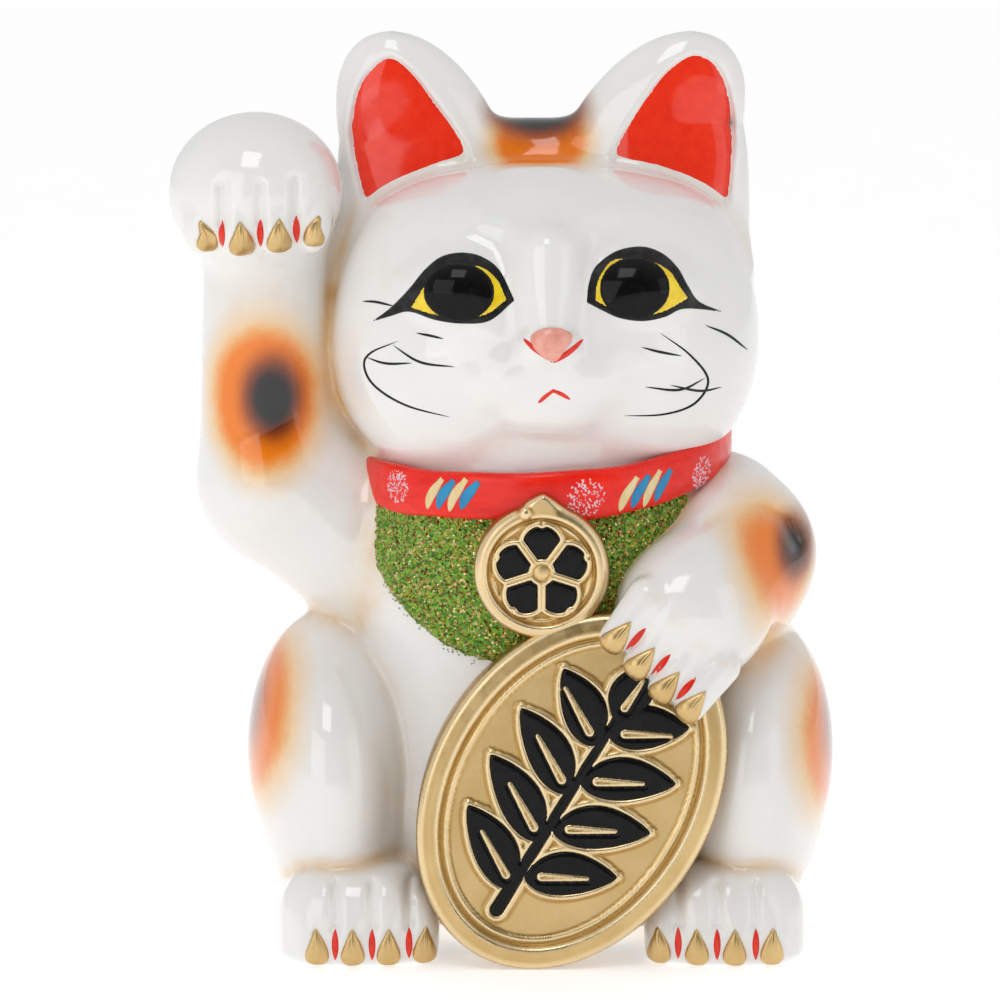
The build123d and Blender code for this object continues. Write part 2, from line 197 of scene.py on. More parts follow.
def skull(p):
    # a lower, wider form flattens the crown
    broad = ellipsoid(p, HEAD + (0, -8.0, -21.5), (90.0, 48.0, 58.6))
    f = smax(ellipsoid(p, HEAD, (56.5, 50.0, 48.0)), broad, 6.0)
    # low saddle between the ears, behind the forehead
    f = smin(f, bar(p, (-27.0, 4.0, CROWN - 12.0), (28.0, 4.0, CROWN - 12.0), 12.0, 12.0), 4.0)
    for side in (-1, 1):
        cheek = ellipsoid(p, HEAD + (side * 21.5 - 0.3, -1.0, -19.0), (35.8, 44.0, 33.5))
        f = smin(f, cheek, 14.0)
    return f


def face(p, f):
    """The head with the relief of its face."""
    x, z = NOSE[0], NOSE[2]
    for side in (-1, 1):
        # hollow between the bridge of the nose and the eye, running up to the brow
        f = smax(f, -bar(p, (side * 10.5, -62.5, z + 15.0), (side * 17.0, -58.0, z + 27.0), 6.0, 7.5), 10.0)
        # ball of the eye
        f = smin(f, ellipsoid(p, EYES[side] + (side * 0.5, 9.5, -0.5), (15.5, 12.5, 10.5)), 5.0)
        # fold that runs from the bridge up over the brow
        brow = ((x + side * 6.5, z + 14.0), (x + side * 6.0, z + 24.0), (x + side * 11.0, z + 30.5),
                (x + side * 18.0, z + 33.0))
        f = f - fold(p, brow, 3.8, 1.1)
    # bridge of the nose, from the brow down
    f = smin(f, bar(p, (x, -50.0, z + 24.0), (x, -57.0, z + 3.0), 6.0, 4.4), 8.0)
    f = smin(f, ellipsoid(p, (x, -57.2, z - 0.5), (7.2, 5.6, 5.0)), 3.0)
    # muzzle: two pads with the cleft between them, and the chin
    for side in (-1, 1):
        f = smin(f, ellipsoid(p, (x + side * 9.0, -48.5, z - 9.5), (13.0, 11.0, 9.0)), 7.0)
    f = smax(f, -bar(p, (x, -62.0, z - 5.0), (x, -61.4, z - 15.0), 1.2, 1.2), 1.8)
    f = smin(f, ellipsoid(p, (x, -49.0, z - 19.5), (10.5, 8.0, 5.0)), 7.0)
    return smax(f, -bar(p, (x - 9.0, -60.5, z - 25.0), (x + 9.0, -60.5, z - 25.0), 3.0, 3.0), 6.0)


# each ear: middle in X, half width, height its lean starts at, lean per mm of height
EARS = {-1: (34.0, 24.0, 220.0, 0.29), 1: (30.5, 26.0, 225.0, 0.37)}
EAR_FOOT = NECK + 63.0


def ear(p, side):
    """A leaning ear with an oval section that narrows to a rounded tip."""
    centre, width, start, lean = EARS[side]
    tip = EAR_TIP[side] + 0.2
    x = p[:, 0] * side - centre - lean * np.maximum(p[:, 2] - start, 0.0)
    y, z = p[:, 1] + 2.0, p[:, 2]
    rise = np.clip((z - EAR_FOOT) / (tip - EAR_FOOT), 0.0, 1.0)
    half = width * np.sqrt(np.clip(1.0 - rise**3.1, 0.0009, 1.0))
    depth = 0.34 * half + 3.2
    f = (np.sqrt((x / half) ** 2 + (y / depth) ** 2) - 1.0) * depth
    return smax(smax(f, z - tip, 2.0), EAR_FOOT - 12.0 - z, 3.0)


# outlines of the red linings, right of and above the middle of each lining, and their sharp corners
CUP_POINTS = {
    -1: [(-5.5, 18.0), (-12.5, 11.4), (-15.2, 2.0), (-15.3, -6.0), (-11.0, -25.0), (4.0, -19.0),
         (21.0, -15.0), (14.1, -3.0), (8.3, 5.2), (1.0, 14.5)],
    1: [(3.5, 18.8), (8.3, 16.2), (11.6, 10.4), (13.5, 2.0), (13.6, -8.0), (11.8, -26.0), (-0.7, -19.0),
        (-23.0, -14.0), (-15.0, 0.8), (-7.0, 12.3), (-1.2, 17.4)],
}
CUP_CORNERS = {-1: (4, 6), 1: (5, 7)}
EAR_CUPS = {side: curve(line, CUP_CORNERS[side], step=2.0) for side, line in CUP_POINTS.items()}


def cup_parts(p, side):
    """(distance to the lining's outline, depth of the hollow's floor) at each point."""
    flat = p[:, [0, 2]] - LININGS[side][[0, 2]]
    bowl = np.maximum(1.0 - np.sum((flat / (16.0, 22.0)) ** 2, 1), 0.0)
    return loop_distance(flat, EAR_CUPS[side]), 1.5 + 2.0 * bowl * bowl


def cupped_ear(p, side):
    """The ear with the hollow that holds its red lining."""
    f = ear(p, side)
    near = (np.abs(f) < 7.0) & (p[:, 1] < -1.0) & (p[:, 2] > EAR_FOOT - 4.0)
    if near.any():
        edge, floor = cup_parts(p[near], side)
        f[near] = smax(f[near], -smax(edge, -(f[near] + floor), 1.4), 1.8)
    return f


def cup_floor(p, side):
    """Zero on the floor of the ear's hollow."""
    return ear(p, side) + cup_parts(p, side)[1]


def raised_arm(p):
    f = bar(p, (-46.0, 0.0, 107.0), (-69.8, 0.0, 121.8), 26.0, 22.2)
    f = smin(f, bar(p, (-77.7, -3.0, 127.0), (-77.0, -8.0, 192.0), 18.6, 17.2), 12.0)
    # web between the forearm and the head
    return smin(f, bar(p, (-60.0, 0.0, 130.0), (-60.0, -2.0, 196.0), 7.0, 6.0), 4.0)


def toes(f, p, centre, pitch, shift, bend, size, tilt):
    """A paw's field with four toes side by side, in a line that bends back at its ends."""
    for k in range(4):
        across = pitch * (k - 1.5) + shift
        toe = centre + np.array([across, bend * across**2, 0.0])
        f = smin(f, ellipsoid(p, toe, size, turned(tilt, 0)), 1.6)
    return f


def groove(p, x, low, high, depth):
    """An upright groove between two toes."""
    return fold(p, ((x, low), (x, high)), 1.5, depth)


def raised_paw(p):
    f = ellipsoid(p, PAW + (0, 1.0, 2.0), (23.8, 22.5, 21.8))
    f = toes(f, p, PAW + (0, -16.0, -5.0), 10.0, 0.7, 0.028, (5.4, 6.0, 9.0), -14.0)
    x, _, z = PAW_CLAWS
    for gap, up in PAW_GAPS:
        f = f + groove(p, x + gap, z + up + 3.0, z + up + 13.0, 1.6)
    return f


def holding_arm(p):
    f = ellipsoid(p, (46.5, -4.0, 103.5), (27.5, 36.0, 30.5))
    f = smin(f, bar(p, (54.0, -20.0, 108.0), HELD + (4.0, 8.0, 3.0), 20.0, 19.0), 8.0)
    return f + fold(p, SHOULDER, 1.8, 1.3)


def holding_paw(p):
    f = ellipsoid(p, HELD + (0.0, 3.0, 0.0), (20.5, 19.5, 20.0))
    x, _, z = HELD_CLAWS
    y = HOLD_LO[1]
    for across, up in HELD_TIPS:
        tip = (x + across - 0.8, y + 6.4, z + up - 1.0)
        knuckle = (x + across + 7.5, y + 10.5, z + up + 9.2)
        f = smin(f, bar(p, tip, knuckle, 4.3, 5.4), 2.0)
    return smin(f, bar(p, (x + 3.0, y + 15.0, z + 10.5), (x + 17.0, -30.0, z + 27.0), 9.0, 12.5), 6.0)


def foot(p, side):
    c = FEET[side] * (1, 1, 0) + (-1.2 - 0.6 * side, 0, 0)
    f = block(p, c + (0, 6.0, 6.5), (21.5, 28.0, 19.5), 14.5)
    f = toes(f, p, c + (0, -16.5, 7.0), 9.8, -2.6 * side, 0.01, (5.2, 7.0, 12.0), -8.0)
    x, _, z = FOOT_CLAWS[side]
    for k in (-1, 0, 1):
        f = f + groove(p, x + FOOT_SHIFT[side] + FOOT_GAP[side] * k, z + 6.0, z + 16.0, 1.4)
    return f


def groups(p):
    """The casting's parts, each as its own field."""
    out = {"body": torso(p)}
    for side, name in SIDES:
        out["body"] = smin(out["body"], haunch(p, side), 3.2)
        out[name + "_foot"], out[name + "_ear"] = foot(p, side), cupped_ear(p, side)
    out["tail"] = ellipsoid(p, TAIL + (0, -7.0, 0.5), (13.5, 13.0, 14.5))
    out["beckoning_arm"] = smin(raised_arm(p), raised_paw(p), 6.0)
    out["holding_arm"] = smin(holding_arm(p), holding_paw(p), 4.0)
    out["head"] = face(p, skull(p))
    return out


def joined(g):
    """The parts run into one another, each with its own fillet in mm."""
    body, head = g["body"], g["head"]
    for name, fillet in (("tail", 5.0), ("right_foot", 2.5), ("left_foot", 2.5), ("beckoning_arm", 6.0),
                         ("holding_arm", 3.2)):
        body = smin(body, g[name], fillet)
    for name in ("right_ear", "left_ear"):
        head = smin(head, g[name], 4.5)
    return smin(body, head, 3.0)


def casting(p):
    """The whole glazed casting: less than zero inside."""
    f = smax(joined(groups(p)), -p[:, 2], 2.5)
    foot_ring = ellipsoid(p * (1.0, 1.0, 0.0), (HOLE[0], HOLE[1], 0.0), (52.0, 45.0, 60.0))
    return smax(f, -np.maximum(foot_ring, p[:, 2] - 3.5), 1.2)


# ---- meshing ----
def chunked(field, p, size=400000):
    out = np.empty(len(p))
    for start in range(0, len(p), size):
        out[start:start + size] = field(p[start:start + size])
    return out


def unit(v):
    """Each row made one long."""
    return v / (np.sqrt(np.sum(v * v, 1))[:, None] + 1e-12)


def gradient(field, p, step=0.25):
    """The field's gradient, from the corners of a small tetrahedron."""
    g = np.zeros_like(p)
    for corner in ((1, -1, -1), (-1, -1, 1), (-1, 1, -1), (1, 1, 1)):
        corner = np.array(corner, float)
        g += chunked(field, p + corner * step)[:, None] * corner
    return g / (4 * step)


def settle(field, p, rounds=1):
    """Points moved onto the surface, no more than 1 mm a round, with its outward normals."""
    for _ in range(rounds):
        g = gradient(field, p)
        size = np.sum(g * g, 1) + 1e-9
        step = (chunked(field, p) / size)[:, None] * g
        length = np.sqrt(np.sum(step * step, 1))[:, None] + 1e-12
        p = p - step * np.minimum(1.0, 1.0 / length)
    return p, unit(g)


CORNERS = [(a, b, c) for a in (0, 1) for b in (0, 1) for c in (0, 1)]


def window(grid, corner, size):
    """The block of a grid that starts at a corner."""
    return grid[tuple(slice(start, start + n) for start, n in zip(corner, size))]


def surface_of(field, lo, hi, voxel, coarse=4):
    """Surface nets: (points, quads) of where the field is zero, sampled finely only near it."""
    lo, hi = np.asarray(lo, float), np.asarray(hi, float)
    cells = np.ceil((hi - lo) / (voxel * coarse)).astype(int)
    axes = [lo[k] + np.arange(cells[k] + 1) * voxel * coarse for k in range(3)]
    grid = np.stack(np.meshgrid(*axes, indexing="ij"), -1).reshape(-1, 3)
    rough = chunked(field, grid).reshape(cells + 1)
    near = np.abs(rough) < voxel * coarse * 2.2
    live = np.any([window(near, corner, cells) for corner in CORNERS], 0)
    live = live.repeat(coarse, 0).repeat(coarse, 1).repeat(coarse, 2)
    shape = cells * coarse + 1
    index = [np.minimum((np.arange(n) + coarse // 2) // coarse, c) for n, c in zip(shape, cells)]
    value = rough[np.ix_(*index)]
    mask = np.zeros(shape, bool)
    for corner in CORNERS:
        window(mask, corner, live.shape)[...] |= live
    value[mask] = chunked(field, lo + np.argwhere(mask) * voxel)
    inside = value < 0
    n = np.array(shape) - 1
    count = np.sum([window(inside, corner, n) for corner in CORNERS], 0, np.int8)
    cell = np.argwhere((count > 0) & (count < 8))
    number = np.full(n, -1, np.int64)
    number[tuple(cell.T)] = np.arange(len(cell))
    # each point is the mean of where the field crosses zero on its cell's edges
    total, hits = np.zeros((len(cell), 3)), np.zeros(len(cell))
    for a in np.array(CORNERS):
        for way in np.eye(3, dtype=int)[a == 0]:
            va, vb = value[tuple((cell + a).T)], value[tuple((cell + a + way).T)]
            cross = (va < 0) != (vb < 0)
            t = np.where(cross, va / np.where(cross, va - vb, 1.0), 0.0)
            total += (a + t[:, None] * way) * cross[:, None]
            hits += cross
    points = lo + (cell + total / hits[:, None]) * voxel
    # each crossed edge of the grid is ringed by four cells
    quads = []
    for axis, way in enumerate(np.eye(3, dtype=int)):
        u, v = (axis + 1) % 3, (axis + 2) % 3
        a, b = window(inside, (0, 0, 0), shape - way), window(inside, way, shape - way)
        edge = np.argwhere(a != b)
        edge = edge[(edge[:, [u, v]] > 0).all(1) & (edge[:, [u, v]] < n[[u, v]]).all(1)]
        flip = a[tuple(edge.T)]
        ring = []
        for du, dv in ((-1, -1), (0, -1), (0, 0), (-1, 0)):
            shift = np.zeros(3, int)
            shift[[u, v]] = du, dv
            ring.append(number[tuple((edge + shift).T)])
        ring = np.stack(ring, 1)
        quads.append(np.where(flip[:, None], ring, ring[:, ::-1]))
    return points, np.concatenate(quads)


def halves(a, b, c, d, across=True):
    """Two triangles for each quad a, b, c, d: cut from a to c where across is true, else from b to d."""
    a, b, c, d, across = (corner.ravel() for corner in np.broadcast_arrays(a, b, c, d, across))
    one = np.where(across, (a, b, c), (a, b, d)).T
    two = np.where(across, (a, c, d), (b, c, d)).T
    return np.concatenate([one, two])


def triangles(points, quads):
    """Each quad cut along its shorter diagonal."""
    a, b, c, d = points[quads].transpose(1, 0, 2)
    return halves(*quads.T, np.sum((a - c) ** 2, 1) <= np.sum((b - d) ** 2, 1))


def scene_object(name, data):
    obj = bpy.data.objects.new(name, data)
    bpy.context.scene.collection.objects.link(obj)
    return obj


def new_object(name, points, faces, normals=None, smooth=True):
    """A mesh object from points in mm."""
    mesh = bpy.data.meshes.new(name)
    mesh.vertices.add(len(points))
    mesh.vertices.foreach_set("co", (np.asarray(points) * MM).astype(np.float32).ravel())
    faces = np.asarray(faces)
    mesh.loops.add(faces.size)
    mesh.loops.foreach_set("vertex_index", faces.astype(np.int32).ravel())
    mesh.polygons.add(len(faces))
    mesh.polygons.foreach_set("loop_start", np.arange(0, faces.size, faces.shape[1], dtype=np.int32))
    mesh.update(calc_edges=True)
    mesh.polygons.foreach_set("use_smooth", np.full(len(faces), smooth))
    if normals is not None:
        mesh.normals_split_custom_set_from_vertices(np.asarray(normals, np.float32).tolist())
    return scene_object(name, mesh)


# ---- cutting and closing meshes ----
def cut(points, faces, value):
    """Triangles cut where value crosses zero: (all points, faces below zero, faces above)."""
    below = value[faces] < 0
    count = below.sum(1)
    mixed = (count == 1) | (count == 2)
    f = faces[mixed]
    alone = np.where(count[mixed][:, None] == 1, below[mixed], ~below[mixed])
    k = alone.argmax(1)
    row = np.arange(len(f))
    a, b, c = (f[row, (k + s) % 3] for s in range(3))
    ends = np.sort(np.concatenate([np.stack([a, b], 1), np.stack([a, c], 1)]), 1)
    edge, index = np.unique(ends, axis=0, return_inverse=True)
    index = index.ravel() + len(points)
    v0, v1 = value[edge[:, 0]], value[edge[:, 1]]
    t = np.clip(v0 / np.where(v0 == v1, 1.0, v0 - v1), 0.06, 0.94)[:, None]
    fresh = points[edge[:, 0]] * (1 - t) + points[edge[:, 1]] * t
    ab, ac = index[:len(f)], index[len(f):]
    tip, base = np.stack([a, ab, ac], 1), halves(ab, b, c, ac)
    low = value[a] < 0
    under = np.concatenate([faces[count == 3], tip[low], base[np.tile(~low, 2)]])
    over = np.concatenate([faces[count == 0], tip[~low], base[np.tile(low, 2)]])
    return np.concatenate([points, fresh]), under, over


def compact(faces):
    """The points the faces use, and the faces renumbered to them."""
    used, index = np.unique(faces, return_inverse=True)
    return used, index.reshape(-1, 3)


def closed(top, bottom, faces):
    """Points and faces of the solid between a sheet and its underside."""
    n = len(top)
    way = np.concatenate([faces[:, [0, 1]], faces[:, [1, 2]], faces[:, [2, 0]]]).astype(np.int64)
    key, back = way[:, 0] * n + way[:, 1], way[:, 1] * n + way[:, 0]
    rim = way[~np.isin(key, back)]
    a, b = rim.T
    walls = halves(b, a, a + n, b + n)
    return np.concatenate([top, bottom]), np.concatenate([faces, faces[:, ::-1] + n, walls])


def attribute(obj, name, values):
    layer = obj.data.attributes.new(name, "FLOAT", "POINT")
    layer.data.foreach_set("value", np.asarray(values, np.float32))


# ---- flat grids ----
def sheet(lo, hi, step):
    """A flat grid of triangles, facing +Z of its own plane."""
    n = np.maximum(np.ceil((np.asarray(hi) - lo) / step).astype(int), 1) + 1
    u, v = (np.linspace(lo[k], hi[k], n[k]) for k in range(2))
    grid = np.stack(np.meshgrid(u, v, indexing="ij"), -1).reshape(-1, 2)
    i = (np.arange(n[0] - 1)[:, None] * n[1] + np.arange(n[1] - 1)).ravel()
    even = (i // n[1] + i % n[1]) % 2 == 0
    return grid, halves(i, i + n[1], i + n[1] + 1, i + 1, even)


def cut_sheet(low, high, step, inside):
    """The part of a flat grid where inside(points) is below zero: (points, faces)."""
    grid, faces = sheet(low, high, step)
    grid, faces, _ = cut(grid, faces, inside(grid))
    used, faces = compact(faces)
    return grid[used], faces


def within(loop):
    """The distance to an outline, a hair over zero on it."""
    return lambda q: loop_distance(q, loop) + 1e-6


# ---- putting flat work onto the casting ----
FORWARD = Vector((0.0, 1.0, 0.0))  # flat work is thrown straight back
START_Y = -125.0  # mm, in front of the whole cat
REACH = 70.0  # a ray that misses takes the surface point nearest to this far along it


def in_front(centre, uv):
    """Points in front of the cat, uv mm right of and above a centre."""
    return np.stack([centre[0] + uv[:, 0], np.full(len(uv), START_Y), centre[2] + uv[:, 1]], 1)


def front_of(centre):
    """Placing function: flat points thrown at the casting from the front."""
    def place(uv):
        hits = []
        for start in in_front(centre, uv).tolist():
            spot = SKIN.ray_cast(Vector(start), FORWARD)[0]
            hits.append(spot or SKIN.find_nearest(Vector(start) + FORWARD * REACH)[0])
        return settle(casting, np.array(hits))
    return place


def round_over(depth, rim):
    """0 at an edge, rising on a quarter circle to 1 at depth rim."""
    t = np.clip(depth / rim, 0.0, 1.0)
    return np.sqrt(1.0 - (1.0 - t) ** 2)


SKIN_GAP = 0.06  # mm that paint stands off the glaze at its very edge


def patch(loop, place, height, rim=0.5, dome=0.0, step=0.6, sink=0.35):
    """Points and faces of a layer of enamel with a rounded edge, inside an outline."""
    uv, faces = cut_sheet(loop.min(0) - step, loop.max(0) + step, step, within(loop))
    depth = np.maximum(-loop_distance(uv, loop), 0.0)
    p, n = place(uv)
    if not np.isfinite(p).all():
        used, faces = compact(faces[np.isfinite(p).all(1)[faces].all(1)])
        p, n, depth = p[used], n[used], depth[used]
    rise = SKIN_GAP + height * round_over(depth, rim) + dome * round_over(depth, depth.max())
    return closed(p + n * rise[:, None], p - n * sink, faces)


def stroke(line, width, height, place, ends=(0.0, 0.0), power=0.5, across=7, sink=0.3, keel=0.0):
    """A brush stroke or a claw: a line with a width that swells and tapers to its ends."""
    line = np.asarray(line, float)
    count = len(line)
    t = np.linspace(0.0, 1.0, count)
    swell = np.clip(4.0 * t * (1.0 - t), 0.0, 1.0) ** power
    swell = np.maximum(swell, np.maximum(np.where(t < 0.5, *ends), 0.04))
    along = unit(np.gradient(line, axis=0))
    side = np.stack([-along[:, 1], along[:, 0]], 1)
    s = np.linspace(-1.0, 1.0, across)
    uv = line[:, None, :] + side[:, None, :] * (0.5 * width * swell[:, None] * s)[..., None]
    p, n = place(uv.reshape(-1, 2))
    cap = np.sqrt(np.clip(1.0 - s * s, 0.0, 1.0)) * (1.0 - keel) + keel * (1.0 - np.abs(s))
    rise = SKIN_GAP + height * (swell[:, None] * cap).ravel()
    i = (np.arange(count - 1)[:, None] * across + np.arange(across - 1)).ravel()
    faces = halves(i, i + across, i + across + 1, i + 1)
    a, b, c = (p[faces[:, k]] for k in range(3))
    facing = np.sum(np.cross(b - a, c - a) * n[faces[:, 0]], 1).sum()
    faces = faces if facing > 0 else faces[:, ::-1]
    return closed(p + n * rise[:, None], p - n * sink, faces)


def brush(points, width, height, place, step=0.4, **shape):
    """A stroke along a smooth open line."""
    return stroke(curve(points, looped=False, step=step), width, height, place, **shape)


def circle(count):
    """Angles evenly round a circle."""
    return np.linspace(0.0, 2 * math.pi, count, endpoint=False)


def ring(centre, semi, count=56):
    """Flat points round an ellipse."""
    a = circle(count)
    return np.stack([centre[0] + semi[0] * np.cos(a), centre[1] + semi[1] * np.sin(a)], 1)


def dab(at, radius, place, height=0.14, sink=0.15):
    """A small round touch of the brush."""
    rim = ring((0.0, 0.0), (radius, radius), 8)
    uv = np.concatenate([[(0.0, 0.0)], rim * 0.6, rim]) + at
    k = np.arange(8)
    m = (k + 1) % 8
    hub = np.stack([np.zeros(8, int), k + 1, m + 1], 1)
    faces = np.concatenate([hub, halves(k + 1, k + 9, m + 9, m + 1)])
    p, n = place(uv)
    rise = height * np.repeat((1.0, 0.8, 0.3), (1, 8, 8))
    if np.cross(p[1] - p[0], p[2] - p[0]) @ n[0] < 0:
        faces = faces[:, ::-1]
    return closed(p + n * rise[:, None], p - n * sink, faces)


def together(parts):
    """Several (points, faces) as one."""
    start = np.cumsum([0] + [len(p) for p, _ in parts])
    return np.concatenate([p for p, _ in parts]), np.concatenate([f + s for (_, f), s in zip(parts, start)])


def piece(name, parts, finish, node=None, body="cat", normals=None):
    """A finished piece: its mesh, its material, the CAD node it stands for and the body it rides on."""
    points, faces = together(parts) if isinstance(parts, list) else parts
    obj = new_object(name, points, faces, normals)
    obj.data.materials.append(finish)
    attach(obj, body)
    if node:
        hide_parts(node)
    return obj


# ---- materials ----
class Nodes:
    """A node tree, with short ways to add to it."""

    def __init__(self, owner):
        owner.use_nodes = True
        self.tree = owner.node_tree

    def feed(self, socket, value):
        if isinstance(value, bpy.types.NodeSocket):
            self.tree.links.new(value, socket)
        else:
            socket.default_value = value

    def add(self, kind, inputs=None, **settings):
        node = self.tree.nodes.new("ShaderNode" + kind)
        for key, value in settings.items():
            setattr(node, key, value)
        for key, value in (inputs or {}).items():
            self.feed(node.inputs[key], value)
        return node

    def span(self, value, low, high, to_low=0.0, to_high=1.0):
        """value mapped smoothly from low..high onto to_low..to_high."""
        made = self.add("MapRange", {"Value": value, "From Min": low, "From Max": high,
                                     "To Min": to_low, "To Max": to_high}, interpolation_type="SMOOTHSTEP")
        return made.outputs["Result"]


class Finish(Nodes):
    """A material's node tree."""

    def __init__(self, name):
        self.made = bpy.data.materials.new(name)
        super().__init__(self.made)
        self.shader = self.tree.nodes["Principled BSDF"]
        self.place = self.add("TexCoord").outputs["Object"]

    def noise(self, size_mm, detail=3.0, rough=0.55, stretch=None):
        """Soft noise with features of about size_mm; 0.5 on average."""
        at = self.place
        if stretch:
            at = self.add("Mapping", {"Vector": at, "Scale": stretch}).outputs[0]
        made = self.add("TexNoise", {"Vector": at, "Scale": 1.0 / (size_mm * MM), "Detail": detail,
                                     "Roughness": rough})
        return made.outputs["Fac"]

    def cells(self, size_mm, out="Color"):
        return self.add("TexVoronoi", {"Vector": self.place, "Scale": 1.0 / (size_mm * MM)}).outputs[out]

    def scaled(self, a, by, plus=0.0):
        kind = "MULTIPLY_ADD" if plus else "MULTIPLY"
        return self.add("Math", {0: a, 1: by, 2: plus}, operation=kind).outputs[0]

    def sum(self, a, b):
        return self.add("Math", {0: a, 1: b, 2: 0.0}, operation="ADD").outputs[0]

    def blend(self, mask, a, b):
        made = self.add("Mix", data_type="RGBA")
        self.feed(made.inputs["Factor"], mask)
        for socket, value in ((made.inputs[6], a), (made.inputs[7], b)):
            if isinstance(value, tuple):
                value = (*value, 1.0)[:4]
            self.feed(socket, value)
        return made.outputs[2]

    def tint(self, base, value, low, high, colour, most=1.0):
        """base, run over into a colour as value goes from low to high."""
        return self.blend(self.span(value, low, high, 0.0, most), base, colour)

    def attribute(self, name):
        return self.add("Attribute", attribute_name=name).outputs["Fac"]

    def bump(self, height, strength, distance_mm, under=None):
        inputs = {"Height": height, "Strength": strength, "Distance": distance_mm * MM}
        if under is not None:
            inputs["Normal"] = under
        return self.add("Bump", inputs).outputs["Normal"]

    def set(self, **inputs):
        names = {"color": "Base Color", "rough": "Roughness", "metal": "Metallic", "normal": "Normal",
                 "coat": "Coat Weight", "coat_rough": "Coat Roughness", "specular": "Specular IOR Level"}
        for key, value in inputs.items():
            if isinstance(value, tuple):
                value = (*value, 1.0)[:4]
            self.feed(self.shader.inputs[names[key]], value)
        return self.made


def glaze():
    """Warm white glaze with airbrushed ochre creases and orange and black spots under it."""
    f = Finish("white_glaze_v")
    cloud, grain = f.noise(22.0), f.noise(1.6, 4.0)
    white = f.tint((0.865, 0.853, 0.825), cloud, 0.35, 0.68, (0.835, 0.828, 0.812))
    white = f.tint(white, f.noise(3.2, 2.0), 0.6, 0.82, (0.80, 0.785, 0.755), 0.35)
    wander = f.scaled(f.noise(7.0, 4.0), 0.5, -0.25)
    speckle = f.scaled(grain, 0.14, -0.07)
    ochre = f.attribute("ochre")
    ochre = f.scaled(ochre, f.span(f.noise(11.0, 3.0), 0.25, 0.7, 0.55, 1.0))
    edge = f.sum(ochre, f.scaled(speckle, 0.5))
    tinted = f.tint(white, edge, 0.0, 0.8, (0.80, 0.53, 0.25), 0.95)
    tinted = f.tint(tinted, ochre, 0.55, 1.0, (0.56, 0.25, 0.05), 0.7)
    spray = f.sum(f.scaled(wander, 0.30), f.scaled(speckle, 0.6))
    ring = f.sum(f.attribute("orange"), spray)
    halo = f.tint(tinted, ring, 1.7, 0.95, (0.90, 0.50, 0.12), 0.85)
    orange = f.tint(halo, ring, 1.25, 0.85, (0.88, 0.21, 0.004))
    core = f.sum(f.attribute("black"), spray)
    burnt = f.tint(orange, core, 1.75, 0.95, (0.30, 0.045, 0.005), 0.85)
    final = f.tint(burnt, core, 1.35, 0.6, (0.008, 0.006, 0.006))
    skin = f.bump(f.noise(9.0, 2.0), 0.10, 0.5)
    skin = f.bump(f.noise(1.1, 2.0), 0.05, 0.05, skin)
    skin = f.bump(f.span(f.cells(2.6, "Distance"), 0.0, 0.06), 0.25, 0.05, skin)
    rough = f.span(f.noise(14.0, 4.0), 0.3, 0.7, 0.06, 0.13)
    return f.set(color=final, rough=rough, normal=skin, coat=0.35, coat_rough=0.04)


def enamel(name, colour, second, rough=(0.08, 0.2), coat=0.3, brush=None, flecks=0.0, shine=0.4):
    """Glossy on-glaze enamel: brushed unevenly, with a slightly wavy surface."""
    f = Finish(name)
    streak = f.noise(2.2, 5.0, 0.6, brush) if brush else f.noise(3.0, 4.0)
    base = f.tint(colour, streak, 0.36, 0.7, second)
    if flecks:
        base = f.tint(base, f.cells(0.9, "Distance"), 0.10, 0.04, (0.75, 0.62, 0.5), flecks)
    skin = f.bump(streak, 0.22, 0.12)
    skin = f.bump(f.noise(0.7, 2.0), 0.08, 0.03, skin)
    return f.set(color=base, rough=f.span(f.noise(5.0, 3.0), 0.3, 0.7, *rough), normal=skin, coat=coat,
                 coat_rough=0.06, specular=shine)


def gilding():
    """Satin gold lustre, with painted shade in its hollows and a painted highlight on its ridges."""
    f = Finish("gold_v")
    cavity = f.attribute("cavity")
    cloud = f.noise(8.0, 4.0)
    base = f.tint((0.61, 0.42, 0.175), cloud, 0.3, 0.7, (0.70, 0.50, 0.235))
    # painted shade: the gold is darkened where it lies sunk below the relief round it
    base = f.tint(base, cavity, 0.05, 0.8, (0.42, 0.235, 0.06), 0.85)
    # painted highlight: the gold is lightened on the raised ridges
    base = f.tint(base, cavity, -0.05, -0.7, (0.84, 0.68, 0.42), 0.75)
    base = f.tint(base, f.noise(0.8, 3.0), 0.62, 0.8, (0.36, 0.22, 0.08), 0.35)
    streak = f.noise(1.4, 4.0, 0.6, (1.0, 1.0, 0.25))
    skin = f.bump(streak, 0.16, 0.12)
    skin = f.bump(f.noise(0.5, 3.0), 0.18, 0.04, skin)
    rough = f.sum(f.span(f.noise(4.0, 4.0), 0.3, 0.7, 0.27, 0.40), f.scaled(cavity, 0.08))
    return f.set(color=base, rough=rough, metal=0.92, normal=skin)


